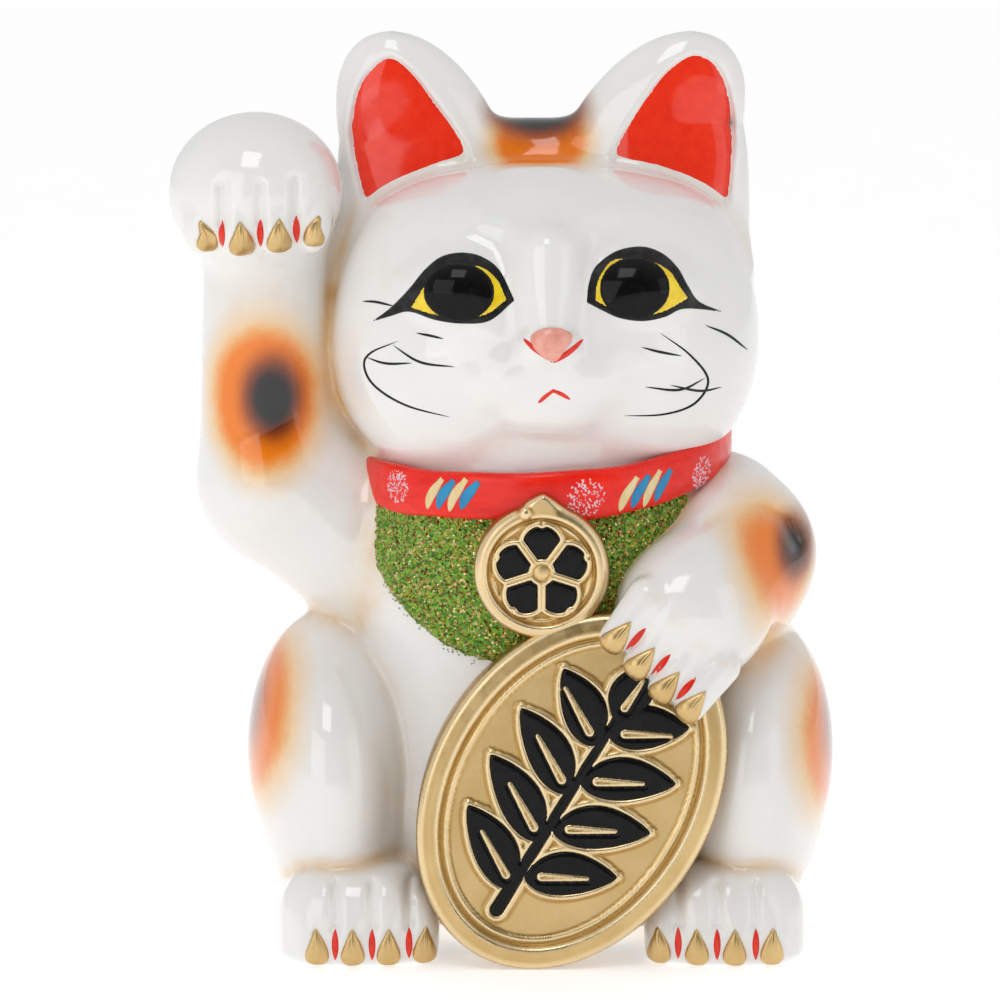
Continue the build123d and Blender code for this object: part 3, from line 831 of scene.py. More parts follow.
def glitter():
    """Green and gold glitter: each flake has its own colour and its own tilt."""
    f = Finish("green_glitter_v")
    cell = f.cells(0.62)
    pick = f.add("SeparateColor", {"Color": cell})
    red, green, blue = pick.outputs[0], pick.outputs[1], pick.outputs[2]
    base = f.tint((0.045, 0.17, 0.010), red, 0.15, 0.9, (0.22, 0.46, 0.035))
    base = f.tint(base, green, 0.62, 0.66, (0.50, 0.38, 0.07))
    base = f.tint(base, green, 0.84, 0.87, (0.95, 0.80, 0.38))
    base = f.tint(base, blue, 0.90, 0.94, (0.13, 0.055, 0.01))
    base = f.tint(base, f.noise(8.0, 3.0), 0.55, 0.78, (0.42, 0.32, 0.055), 0.5)
    tilt = f.add("VectorMath", {0: cell, 1: (0.5, 0.5, 0.5)}, operation="SUBTRACT").outputs[0]
    tilt = f.add("VectorMath", {0: tilt, 3: 1.3}, operation="SCALE").outputs[0]
    grit = f.bump(f.cells(0.62, "Distance"), 0.6, 0.25)
    tilted = f.add("VectorMath", {0: grit, 1: tilt}, operation="ADD").outputs[0]
    normal = f.add("VectorMath", {0: tilted}, operation="NORMALIZE").outputs[0]
    return f.set(color=base, rough=f.span(blue, 0.0, 1.0, 0.14, 0.42),
                 metal=f.span(green, 0.3, 0.8, 0.25, 0.9), normal=normal)


def rubber():
    """Matt off-white stopper rubber with a fine grain and handling marks."""
    f = Finish("stopper_rubber_v")
    base = f.tint((0.72, 0.70, 0.65), f.noise(5.0, 4.0), 0.35, 0.7, (0.62, 0.59, 0.53))
    base = f.tint(base, f.noise(1.0, 3.0), 0.62, 0.8, (0.42, 0.39, 0.34), 0.5)
    skin = f.bump(f.noise(0.35, 3.0), 0.35, 0.05)
    return f.set(color=base, rough=f.span(f.noise(3.0, 3.0), 0.3, 0.7, 0.55, 0.75), normal=skin, coat=0.0)


GLAZE, GOLD, GLITTER, RUBBER = glaze(), gilding(), glitter(), rubber()
RED = enamel("red_enamel_v", (0.92, 0.038, 0.010), (0.86, 0.028, 0.008), (0.06, 0.14), 0.3)
STRAP = enamel("collar_red_v", (0.90, 0.022, 0.008), (0.78, 0.010, 0.005), (0.2, 0.36), 0.1,
               (0.25, 0.25, 1.0), shine=0.3)
BLACK = enamel("black_enamel_v", (0.0035, 0.0035, 0.004), (0.007, 0.0065, 0.0065), (0.05, 0.13), 0.05,
               flecks=0.06, shine=0.14)
CHARCOAL = enamel("charcoal_enamel_v", (0.012, 0.012, 0.013), (0.03, 0.029, 0.029), (0.25, 0.45), 0.0,
                  shine=0.15)
YELLOW = enamel("yellow_enamel_v", (0.90, 0.68, 0.02), (0.82, 0.54, 0.012), (0.1, 0.22), 0.2)
PINK = enamel("pink_enamel_v", (0.86, 0.40, 0.32), (0.80, 0.31, 0.24), (0.14, 0.28), 0.3)
VERMILION = enamel("vermilion_enamel_v", (0.84, 0.03, 0.010), (0.72, 0.018, 0.007), (0.15, 0.3), 0.1)
CREAM = enamel("cream_enamel_v", (0.84, 0.68, 0.36), (0.76, 0.56, 0.26), (0.25, 0.4), 0.1, (1.0, 1.0, 0.4))
BLUE = enamel("blue_enamel_v", (0.008, 0.22, 0.48), (0.012, 0.29, 0.54), (0.25, 0.4), 0.1, (1.0, 1.0, 0.4))
PALE = enamel("pale_enamel_v", (0.80, 0.50, 0.56), (0.88, 0.74, 0.80), (0.3, 0.5), 0.1)


# ---- the glazed casting ----
def closeness(a, b, reach, power=1.4):
    """1 in the crease where two forms meet, falling away over reach."""
    return np.exp(-(np.maximum(np.maximum(a, b) - 0.8, 0.0) / reach) ** power)


def ochre_of(p, g):
    """How strongly the airbrush has toned each point: the creases between forms."""
    arm, held, head = g["beckoning_arm"], g["holding_arm"], g["head"]
    trunk = torso(p)
    tone = 0.75 * closeness(arm, head, 3.4)
    for a, b, reach, strength in (
            (arm, g["body"], 6.0, 0.6), (held, g["body"], 6.0, 0.62), (held, head, 4.0, 0.5),
            (head, g["body"], 2.5, 0.25), (g["tail"], g["body"], 4.0, 0.6)):
        tone = np.maximum(tone, strength * closeness(a, b, reach))
    for side, name in SIDES:
        tone = np.maximum(tone, 0.55 * closeness(g[name + "_foot"], g["body"], 3.0))
        tone = np.maximum(tone, 0.26 * closeness(g[name + "_ear"], head, 3.0))
        tone = np.maximum(tone, 0.30 * closeness(haunch(p, side), trunk, 4.5))
    # touches on the sleeve's crease and behind the knuckles, and a band under the raised paw
    tone = np.maximum(tone, fold(p, SHOULDER, 1.6, 0.3))
    x, _, z = HELD_CLAWS
    for across, up in HELD_TIPS:
        touch = ((x + across + 8.0, z + up + 11.0), (x + across + 10.5, z + up + 9.5))
        tone = np.maximum(tone, np.where(held < 1.5, fold(p, touch, 2.0, 0.24), 0.0))
    under = 0.42 * np.exp(-((p[:, 2] - PAW[2] + 28.0) / 10.0) ** 2)
    under *= np.clip((PAW[1] + 4.0 - p[:, 1]) / 15.0, 0.0, 1.0)
    return np.maximum(tone, np.where(arm < 1.5, under, 0.0))


UNPAINTED = 9.0  # a spot distance that is far outside every spot


def spot_distance(p, spots):
    """Distance from the middles of painted spots: 1 on the edge of each."""
    best = np.full(len(p), UNPAINTED)
    for centre, semi in spots:
        best = np.minimum(best, np.sqrt(np.sum(((p - centre) / semi) ** 2, 1)))
    return best


# (middle, half sizes) of the painted spots, orange and the black inside it
ORANGE_SPOTS = (
    (PAW + (2.2, -9.0, -54.4), (13.4, 26.0, 18.0)),
    ((-1.5, -7.0, 220.0), (11.5, 12.0, 9.0)),
    ((57.5, -30.0, 105.0), (12.6, 25.0, 16.0)),
    ((-86.0, -19.0, 65.0), (17.0, 38.0, 22.0)),
    ((86.0, -19.0, 57.0), (17.5, 38.0, 20.0)),
    ((30.0, 62.0, 78.0), (20.0, 22.0, 17.0)),
    ((-26.0, 48.0, 190.0), (17.0, 20.0, 14.0)),
)
BLACK_SPOTS = (
    (PAW + (4.4, -10.0, -54.0), (6.9, 24.0, 9.6)),
    ((-1.5, 2.5, 228.0), (12.5, 12.5, 7.2)),
    ((66.6, -24.0, 110.5), (5.6, 18.0, 7.8)),
    ((-90.0, -8.0, 65.0), (11.0, 26.0, 13.0)),
    ((90.0, -8.0, 59.0), (12.5, 28.0, 13.0)),
    ((34.0, 64.0, 82.0), (11.0, 20.0, 9.0)),
    ((-30.0, 48.0, 193.0), (9.0, 20.0, 7.5)),
)
CAST_NODES = ("right_ear", "left_ear", "beckoning_arm", "holding_arm", "right_foot", "left_foot", "tail",
              "head", "body")
WALL = 3.2  # mm of fired clay

points, quads = surface_of(casting, (-112, -84, -3), (92, 90, 256), VOXEL)
points, _ = settle(casting, points, rounds=2)
faces = triangles(points, quads)
SKIN = BVHTree.FromPolygons(points.tolist(), faces.tolist())


def coin_slot(p):
    """Less than zero inside the slot in the back of the head."""
    away = np.hypot(np.maximum(np.abs(p[:, 0]) - (SLOT_LONG - SLOT_WIDE) / 2, 0.0), p[:, 2] - SLOT_Z)
    return np.maximum(away - SLOT_WIDE / 2, 20.0 - p[:, 1])


def pour_hole(p):
    """Less than zero inside the hole in the base that the stopper closes."""
    return np.maximum(np.hypot(p[:, 0] - HOLE[0], p[:, 1] - HOLE[1]) - HOLE_RADIUS, p[:, 2] - 12.0)


for opening in (coin_slot, pour_hole):
    points, _, faces = cut(points, faces, opening(points))
# cut the casting into the CAD's parts, each where its own field is the nearest
parts = {}
for k, name in enumerate(CAST_NODES[:-1]):
    g = groups(points)
    rest = np.min([g[other] for other in CAST_NODES[k + 1:]], 0)
    points, parts[name], faces = cut(points, faces, g[name] - rest)
parts["body"] = faces
points, normals = settle(casting, points)
tones = {"ochre": ochre_of(points, groups(points)), "orange": spot_distance(points, ORANGE_SPOTS),
         "black": spot_distance(points, BLACK_SPOTS)}
# the wall is thinner where a full one would run into another part of the surface
depth = np.full(len(points), WALL)
for _ in range(4):
    shallow = chunked(casting, points - normals * depth[:, None]) > -0.75 * depth
    depth = np.where(shallow, depth * 0.62, depth)
inner = points - normals * depth[:, None]
for name, mine in parts.items():
    node = name + "_shell" if name in ("head", "body") else name
    used, mine = compact(mine)
    solid = closed(points[used], inner[used], mine)
    both = np.concatenate([normals[used], -normals[used]])
    cast = piece(node + "_casting", solid, GLAZE, node, normals=both)
    for tone, values in tones.items():
        bare = 0.0 if tone == "ochre" else UNPAINTED
        attribute(cast, tone, np.concatenate([values[used], np.full(len(used), bare)]))


# ---- face ----
def front_march(centre, field, reach=160.0, steps=60):
    """Placing function: flat points marched from the front onto a field; nan where they miss it."""
    def place(uv):
        p = in_front(centre, uv)
        gone = np.zeros(len(p))
        for _ in range(steps):
            d = chunked(field, p)
            go = np.where((np.abs(d) > 0.01) & (gone < reach), d * 0.85, 0.0)
            gone += go
            p = p + go[:, None] * FORWARD
            if np.abs(go).max() < 0.01:
                break
        p, n = settle(field, p)
        p[np.abs(chunked(field, p)) > 0.5] = np.nan
        return p, n
    return place


# outlines round each eye, right of and above its middle
EYE_LIDS = {
    -1: [(-25.0, -10.4), (-20.6, -7.0), (-17.2, -3.6), (-14.0, 0.2), (-10.2, 4.9), (-5.8, 8.3), (-0.4, 9.4),
         (5.0, 8.4), (9.8, 4.9), (13.8, -2.8), (7.2, -8.2), (-0.2, -9.1), (-7.2, -8.4), (-14.2, -6.6),
         (-19.4, -8.2)],
    1: [(24.5, -7.9), (17.6, -4.4), (14.3, 0.3), (11.5, 5.2), (7.5, 8.9), (2.0, 10.8), (-4.8, 9.8),
        (-10.4, 6.0), (-12.4, 1.6), (-13.0, -3.4), (-8.9, -5.5), (-4.1, -7.6), (2.1, -8.5), (8.0, -7.6),
        (12.4, -5.8), (18.0, -6.4)],
}
EYE_CORNERS = (0, 9)
EYE_YELLOWS = {
    -1: [(-14.0, -5.4), (-10.4, 0.6), (-6.9, 4.7), (-1.0, 6.2), (4.8, 5.9), (9.2, 2.6), (11.9, -2.8),
         (6.2, -6.7), (-0.2, -7.5), (-6.7, -7.1)],
    1: [(14.3, -2.9), (12.0, 0.5), (9.7, 4.0), (6.2, 6.5), (1.2, 7.7), (-5.0, 7.8), (-8.2, 5.4),
        (-10.3, 1.6), (-10.9, -3.0), (-4.1, -6.4), (1.3, -7.0), (7.2, -6.2)],
}
YELLOW_CORNERS = {-1: (0, 6), 1: (0, 8)}
PUPILS = {-1: ((-1.0, -0.8), (9.5, 7.7)), 1: ((-0.2, 0.2), (9.4, 8.1))}

for side, name in SIDES:
    at = front_of(EYES[side])
    lid = patch(curve(EYE_LIDS[side], EYE_CORNERS), at, 0.22, 0.5, step=0.5)
    piece(name + "_eye_lid", lid, CHARCOAL, name + "_eye")
    yellow = patch(curve(EYE_YELLOWS[side], YELLOW_CORNERS[side]), at, 0.36, 0.5, step=0.5)
    piece(name + "_eye_yellow", yellow, YELLOW, name + "_iris")
    pupil = patch(ring(*PUPILS[side]), at, 0.50, 0.8, dome=0.45, step=0.5)
    piece(name + "_pupil", pupil, BLACK)

AT_NOSE = front_of(NOSE)
nose = patch(curve([(-5.0, 1.6), (-3.4, 3.7), (0.0, 4.7), (3.5, 4.2), (6.2, 2.0), (3.4, -2.4), (0.9, -4.4),
                    (-3.2, -1.8)]), AT_NOSE, 0.25, 0.5, dome=0.7, step=0.4)
piece("nose_enamel", nose, PINK, "nose_pad")
reds = []
for at, width, height, ends, lines in (
        (AT_NOSE, 1.5, 0.25, (0.15, 0.5), ([(-6.8, 1.4), (-4.3, -0.6), (-1.7, -2.4), (0.9, -4.5)],
                                           [(9.0, 1.0), (6.6, -0.9), (4.1, -2.7), (1.2, -4.6)])),
        (front_of(MOUTH), 1.1, 0.22, (0.2, 0.8), ([(-2.9, -0.9), (-1.0, 0.9), (1.1, 2.5)],
                                                  [(5.6, 0.1), (3.2, 1.6), (0.8, 2.6)]))):
    reds += [brush(line, width, height, at, ends=ends) for line in lines]
piece("mouth_enamel", reds, VERMILION, "mouth_line")

# brush lines, right of and above the nose
WHISKERS = (
    [(-50.5, 8.7), (-46.5, 9.0), (-41.5, 8.4)],
    [(-40.5, -0.7), (-47.7, -4.4), (-49.9, -8.2), (-47.2, -13.4), (-38.7, -18.0), (-26.5, -20.8)],
    [(-49.3, -6.0), (-43.8, -7.0), (-36.7, -6.3)],
    [(-41.9, -1.9), (-34.5, -5.9), (-25.1, -6.8)],
    [(-35.6, 1.8), (-31.8, 1.3), (-28.1, 0.6)],
    [(42.1, 3.3), (48.6, -0.1), (54.6, -5.4)],
    [(24.6, -1.5), (29.7, -3.0), (35.7, -4.4)],
    [(29.7, 2.1), (37.9, -4.3), (43.0, -11.6), (39.5, -17.7), (31.3, -20.2), (20.2, -20.3)],
    [(25.7, -12.3), (35.2, -13.6), (42.1, -11.0)],
    [(32.5, -12.1), (40.8, -14.4), (47.0, -14.1)],
)
hairs = [brush(line, 0.68, 0.12, AT_NOSE, step=1.0, power=0.7, across=5) for line in WHISKERS]
piece("whiskers", hairs, CHARCOAL)

LINING_SPREAD = 1.045  # the lining's edge lies buried in the white rim
for side, name in SIDES:
    cup = front_march(LININGS[side], lambda p: cup_floor(p, side))
    lining = patch(EAR_CUPS[side] * LINING_SPREAD, cup, 0.35, 0.4, step=0.7)
    piece(name + "_ear_enamel", lining, RED, name + "_ear_lining")


# ---- claws and toe marks ----
def spun(line, angle):
    """Flat points turned about their origin."""
    c, s = math.cos(angle), math.sin(angle)
    return line @ np.array([[c, s], [-s, c]])


def claw(place, at, width, length, lean=0.0, angle=0.0):
    """A pointed claw with a keel, its point up before it is turned."""
    size = np.array([width, length])
    edge = [(lean / width, 0.5), (0.32, 0.10), (0.49, -0.28), (0.30, -0.50), (-0.26, -0.50), (-0.49, -0.28),
            (-0.30, 0.12)]
    spine = [(lean / width, 0.46), (0.3 * lean / width, 0.0), (0.04, -0.40)]
    edge = spun(curve(edge * size, (0,), step=0.5), angle) + at
    spine = spun(curve(spine * size, looped=False, step=0.5), angle) + at
    return [patch(edge, place, 0.40, 0.7, 0.45, step=0.45),
            stroke(spine, 0.42 * width, 1.15, place, ends=(0.1, 0.75), keel=0.8)]


def mark(place, at, length, angle=0.0):
    """A red brush touch between two toes."""
    line = np.linspace((0.0, 0.5), (0.0, -0.5), 14) * length
    return stroke(spun(line, angle) + at, 1.9, 0.40, place, power=0.8)


PAW_FRONT = front_of(PAW_CLAWS)
claws = []
for x, z, width, length, lean in ((-12.4, 0.4, 6.0, 8.6, -1.8), (-2.8, 0.1, 7.2, 9.4, -0.4),
                                  (7.2, 0.9, 6.8, 9.2, 0.2), (16.4, 1.6, 5.8, 8.4, 1.5)):
    claws += claw(PAW_FRONT, (x, z), width, length, lean)
piece("beckoning_claw_gilt", claws, GOLD, "beckoning_claws")
piece("beckoning_toe_marks", [mark(PAW_FRONT, gap, 7.6) for gap in PAW_GAPS], VERMILION)
HELD_FRONT = front_of(HELD_CLAWS)
claws = []
for tip in HELD_TIPS:
    claws += claw(HELD_FRONT, tip, 6.8, 10.2, 0.0, math.radians(-40.0))
piece("holding_claw_gilt", claws, GOLD, "holding_claws")
piece("holding_toe_marks", [mark(HELD_FRONT, at, 8.0, math.radians(-42.0)) for at in (
    (-6.6, 5.0), (0.0, -2.2), (6.8, -8.4))], VERMILION)
for side, name in SIDES:
    at = front_of(FOOT_CLAWS[side])
    claws = []
    for k in range(4):
        across = FOOT_SHIFT[side] + FOOT_GAP[side] * 0.97 * (k - 1.5) - 0.4
        claws += claw(at, (across, 0.5), 6.6, 10.0, 0.25 * (k - 1.5))
    piece(name + "_foot_claw_gilt", claws, GOLD, name + "_foot_claws")
    marks = [mark(at, (FOOT_SHIFT[side] + FOOT_GAP[side] * k, 0.8), 8.6) for k in (-1, 0, 1)]
    piece(name + "_toe_marks", marks, VERMILION)


# ---- collar and bib ----
COLLAR_LO, COLLAR_HI = box_mm("collar_band")
COLLAR_MID = np.array([0.3, -2.5, (COLLAR_LO[2] + COLLAR_HI[2]) / 2 + 0.8])
COLLAR_SEMI = np.array([49.4, 48.6])
BAND_HALF = (6.5, 2.3)  # half of the band's height and of its thickness
BAND_ROUND = 3.4  # power of the superellipse that is the band's section
BAND_TURN = 50.0  # mm along the band for each radian


def band_middle(a):
    """The band's middle line and outward way at angle a, 0 in front: it climbs over the left shoulder."""
    x = COLLAR_MID[0] + COLLAR_SEMI[0] * np.sin(a)
    y = COLLAR_MID[1] - COLLAR_SEMI[1] * np.cos(a)
    climb = 9.5 * np.clip((x + 2.0) / 50.0, 0.0, 1.1) ** 2.2
    sag = 0.5 * np.cos(3.0 * a)
    out = unit(np.stack([np.sin(a) / COLLAR_SEMI[0], -np.cos(a) / COLLAR_SEMI[1], a * 0.0], 1))
    return np.stack([x, y, COLLAR_MID[2] + climb + sag], 1), out


def band_place(uv):
    """(angle as mm along the band from its front, height above its middle) on the band's face."""
    p, n = band_middle(uv[:, 0] / BAND_TURN)
    s = np.clip(uv[:, 1] / BAND_HALF[0], -0.999, 0.999)
    out = BAND_HALF[1] * (1.0 - np.abs(s) ** BAND_ROUND) ** (1 / BAND_ROUND)
    return p + uv[:, 1:] * (0, 0, 1) + n * out[:, None], n


def band(around=240, section=26):
    a = circle(around)
    p, n = band_middle(a)
    c, s = np.cos(circle(section)), np.sin(circle(section))
    out = BAND_HALF[1] * np.sign(c) * np.abs(c) ** (2 / BAND_ROUND)
    up = BAND_HALF[0] * np.sign(s) * np.abs(s) ** (2 / BAND_ROUND)
    wave = 0.25 * np.sin(5.0 * a + 0.6) + 0.15 * np.sin(11.0 * a)
    pts = p[:, None] + n[:, None] * out[:, None]
    pts[..., 2] += up + wave[:, None] * np.sign(s)
    i = np.arange(around)[:, None] * section + np.arange(section)
    j = np.roll(i, -1, 0)
    return pts.reshape(-1, 3), halves(i, j, np.roll(j, -1, 1), np.roll(i, -1, 1))


piece("collar", band(), STRAP, "collar_band")


def along_band(x):
    """How far along the band its front face is at x."""
    return BAND_TURN * math.asin((x - COLLAR_MID[0]) / COLLAR_SEMI[0])


dots, rng = [], np.random.default_rng(7)
for x, up, radius in ((-38.8, 1.2, 4.6), (10.0, -0.6, 5.2), (40.7, -2.0, 4.4)):
    for _ in range(150):
        angle, far = rng.uniform(0, 2 * math.pi), radius * math.sqrt(rng.uniform())
        size = rng.uniform(0.16, 0.32)
        spot = (along_band(x) + far * math.cos(angle), up + far * math.sin(angle))
        dots.append(dab(spot, size, band_place))
piece("collar_dots", dots, PALE)
creams, blues = [], []
for x, up in ((-24.0, 0.2), (26.5, -1.2)):
    for k, (shift, tall) in enumerate(((-6.0, 8.5), (-2.4, 8.0), (1.2, 9.0), (4.8, 7.6))):
        c = along_band(x) + shift
        line = [(c - 2.6, up - tall / 2), (c - 1.2, up - 0.5), (c + 2.4, up + tall / 2)]
        width, paint = (3.0, blues) if k % 2 else (2.7, creams)
        paint.append(brush(line, width, 0.10, band_place, 0.5, ends=(0.12, 0.6), power=0.6, sink=0.2))
piece("collar_cream_strokes", creams, CREAM)
piece("collar_blue_strokes", blues, BLUE)

BIB_EDGE = [(-49.0, 2.0), (-48.2, -8.0), (-45.6, -17.0), (-41.0, -24.0), (-34.4, -30.4), (-27.0, -35.5),
            (-19.5, -38.3), (-12.0, -39.2), (0.0, -38.0), (14.0, -31.0), (24.0, -20.0), (34.0, -10.5),
            (41.0, -5.5), (43.0, 3.0), (30.0, 5.0), (0.0, 3.0)]


WAVES = np.random.default_rng(3).uniform(2.2, 4.8, (5, 3))


def lumps(p, size):
    """Cheap repeatable noise in about -1..1 from sums of turned waves."""
    total = np.zeros(len(p))
    for k, turns in enumerate(WAVES):
        x, y, z = (p * turns / size).T
        total += np.sin(x + 1.7 * k) * np.sin(y + k) * np.sin(z)
    return total / 2.0


def bib_parts():
    """The crust of glitter, and the loose flakes round its edge."""
    rng = np.random.default_rng(11)
    centre = np.array([0.0, 0.0, COLLAR_LO[2] + 1.0])
    at = front_march(centre, torso)
    loop = curve(BIB_EDGE, (0, 12, 13), step=0.9)
    loop = loop + rng.normal(0.0, 0.22, loop.shape)
    step = 0.62
    uv, faces = cut_sheet(loop.min(0) - step, loop.max(0) + step, step, within(loop))
    p, n = at(uv)
    depth = np.maximum(-loop_distance(uv, loop), 0.0)
    rise = 0.1 + 1.7 * round_over(depth, 2.2) + 0.22 * lumps(p, 2.6) * round_over(depth, 1.0)
    rise += rng.normal(0.0, 0.13, len(p)) * round_over(depth, 0.8)
    out = [closed(p + n * rise[:, None], p - n * 1.2, faces)]
    count = 260
    edge = loop[rng.integers(0, int(len(loop) * 0.62), count)]  # the part that hangs free of the collar
    p, n = at(edge + rng.normal(0.0, 0.9, (count, 2)))
    facing = unit(n + rng.normal(0.0, 0.35, (count, 3)))
    c, s = np.cos(circle(6))[:, None], np.sin(circle(6))[:, None]
    for spot, lift, axis in zip(p, n, facing):
        u = np.cross(axis, (0.0, 0.0, 1.0))
        u /= np.linalg.norm(u)
        top = spot + lift * 0.22 + rng.uniform(0.14, 0.30) * (c * u + s * np.cross(axis, u))
        fan = np.array([(0, i, i + 1) for i in range(1, 5)])
        out.append(closed(top, top - axis * 0.12, fan))
    return out


piece("glitter_bib", bib_parts(), GLITTER, "bib")


# ---- medallion and oval plate ----
class Tablet:
    """A flat-backed casting in relief: heights on a plane, cut out along an outline."""

    def __init__(self, centre, across, up):
        self.centre, self.across, self.up = (np.asarray(v, float) for v in (centre, across, up))
        self.out = np.cross(self.across, self.up)

    def place(self, uv):
        p = self.centre + uv[:, :1] * self.across + uv[:, 1:] * self.up
        return p, np.broadcast_to(self.out, p.shape)

    def solid(self, outline, height, extent, step, thick, floor=None):
        """The casting's mesh, and at each point how deep it lies below what is round it."""
        uv, faces = cut_sheet(-np.array(extent), extent, step, lambda q: outline(q) + 1e-6)
        if floor is not None:
            uv, _, faces = cut(uv, faces, self.place(uv)[0][:, 2] - floor)
            used, faces = compact(faces)
            uv = uv[used]
        p, n = self.place(uv)
        h = height(uv)
        top, bottom = p + n * h[:, None], p - n * thick
        if floor is not None:
            top[:, 2], bottom[:, 2] = np.maximum(top[:, 2], floor), np.maximum(bottom[:, 2], floor)
        around = np.mean([height(uv + shift) for shift in ((1.1, 0), (-1.1, 0), (0, 1.1), (0, -1.1))], 0)
        # how sunk each point is; the gold's painted shade and painted highlight follow it
        cavity = np.clip((around - h) / 0.35, -1.0, 1.0)
        return closed(top, bottom, faces), np.concatenate([cavity, cavity * 0.0])

    def inlay(self, shape, height, extent, step, level, gap=0.35):
        """Enamel lying inside a sunk shape, domed a little."""
        uv, faces = cut_sheet(-np.array(extent), extent, step, lambda q: shape(q) + gap)
        p, n = self.place(uv)
        inside = np.maximum(-shape(uv) - gap, 0.0)
        top = level + 0.25 * round_over(inside, 0.5) + 0.18 * round_over(inside, 3.0)
        base = height(uv) - 0.3
        return closed(p + n * top[:, None], p + n * np.minimum(base, top - 0.2)[:, None], faces)


def smooth(x, low, high):
    t = np.clip((x - low) / (high - low), 0.0, 1.0)
    return t * t * (3.0 - 2.0 * t)


def leaf(q, base, tip, width, bend=0.0):
    """Distance to a leaf from its base to its tip, negative inside."""
    base, d = np.asarray(base, float), np.asarray(tip, float) - base
    size = np.linalg.norm(d)
    t = (q - base) @ d / size**2
    across = ((q[:, 0] - base[0]) * -d[1] + (q[:, 1] - base[1]) * d[0]) / size
    held = np.clip(t, 0.0, 1.0)
    half = 0.5 * width * np.sin(math.pi * held**0.8) ** 0.75
    across = np.abs(across - bend * np.sin(math.pi * held))
    beyond = np.maximum(np.abs(t - 0.5) - 0.5, 0.0) * size
    return np.where(beyond > 0, np.hypot(np.maximum(across - half, 0.0), beyond), across - half)


def ridge(f, at=0.55, half=1.05, height=1.0):
    """A rounded gold wall round the shape whose distance is f."""
    return height * np.sqrt(np.clip(1.0 - ((f - at) / half) ** 2, 0.0, 1.0))


PLATE_LO, PLATE_HI = box_mm("koban_plate")
TURN, LEAN = math.radians(30.0), math.radians(3.0)
PLATE_SEMI = (38.4, 51.5)
plate_out = np.array([0.0, -math.cos(LEAN), math.sin(LEAN)])
plate_across = np.array([math.cos(TURN), -math.sin(TURN) * math.sin(LEAN), -math.sin(TURN) * math.cos(LEAN)])
PLATE = Tablet(((PLATE_LO[0] + PLATE_HI[0]) / 2, PLATE_LO[1] + 2.3, PLATE_HI[2] - 48.3), plate_across,
               np.cross(plate_out, plate_across))
BEVEL, RIM, SLOPE = 2.4, 5.4, 1.7  # mm in from the edge: the bevel, the flat rim, the slope down from it
FIELD = -1.7  # height of the sunk field


def leaf_pairs():
    """For each pair of leaves: the height of its foot on the stem, and how far it reaches sideways."""
    for k in range(4):
        low = -31.0 + 15.0 * k
        yield low, min(24.32 * math.sqrt(1.0 - ((low + 14.0) / 43.5) ** 2), 24.0)


def sprig(q):
    """The leaf sprig in the oval: a stem and pairs of leaves, running up the long axis."""
    f = bar(q, (-1.5, -38.0), (0.5, 25.0), 1.9, 1.3)
    f = np.minimum(f, leaf(q, (0.3, 23.0), (2.0, 41.5), 11.5, 0.6))
    for low, reach in leaf_pairs():
        f = np.minimum(f, leaf(q, (-1.0, low), (-reach, low + 14.0), 12.2, -1.2))
        f = np.minimum(f, leaf(q, (0.6, low + 4.5), (reach, low + 17.0), 12.2, 1.2))
    return f


def veins(q):
    """The leaves' gold midribs."""
    lines = [((0.9, 27.0), (1.6, 36.0))]
    for low, _ in leaf_pairs():
        lines.append(((-4.0, low + 2.6), (-15.5, low + 9.6)))
        lines.append(((4.5, low + 6.9), (15.5, low + 12.6)))
    return np.min([bar(q, a, b, 0.75, 0.25) for a, b in lines], 0)


def plate_outline(q):
    return ellipsoid(q, 0, PLATE_SEMI)


def plate_height(q):
    e = -plate_outline(q)
    h = -BEVEL * (1.0 - round_over(e, BEVEL)) + 0.25 * smooth(e, BEVEL, RIM - 0.8)
    h -= (0.25 - FIELD) * smooth(e, RIM, RIM + SLOPE)
    h += ridge(e, RIM + SLOPE + 1.1, 0.8, 0.55) + 0.5 * smooth(e, RIM + SLOPE + 2.0, 34.0)
    f = sprig(q)
    wall = np.maximum(ridge(f), np.where(f < 0, ridge(veins(q), 0.0, 0.9), 0.0))
    return np.maximum(h, np.where(wall > 0, h - 0.3 + 1.25 * wall, h)) - 0.25 * smooth(-f, 0.2, 0.9)


def veined_sprig(q):
    return np.maximum(sprig(q), -veins(q) + 0.2)


step = 0.5
solid, cavity = PLATE.solid(plate_outline, plate_height, (39.0, 52.0), step, 18.0, floor=0.0)
plate = piece("koban_plate_gilt", solid, GOLD, "koban_plate")
attribute(plate, "cavity", cavity)
inlaid = PLATE.inlay(veined_sprig, plate_height, (30.0, 44.0), step, FIELD + 0.95)
piece("koban_sprig_enamel", inlaid, BLACK, "koban_motif")

MEDAL_LO, MEDAL_HI = box_mm("medallion")
MEDAL_R = 18.2
MEDAL_MIDDLE = ((MEDAL_LO[0] + MEDAL_HI[0]) / 2, MEDAL_LO[1] + 1.4, MEDAL_LO[2] + MEDAL_R - 1.6)
MEDAL = Tablet(MEDAL_MIDDLE, (1.0, 0.0, 0.0), (0.0, 0.0, 1.0))
MEDAL_FIELD = -1.5  # height of the sunk field
DEEP = -9.0  # under everything: where a raised part is not


def medal_outline(q):
    tab = leaf(q, (0.0, MEDAL_R - 4.0), (0.6, MEDAL_R + 3.0), 10.0)
    return smin(np.linalg.norm(q, axis=1) - MEDAL_R, tab, 2.5)


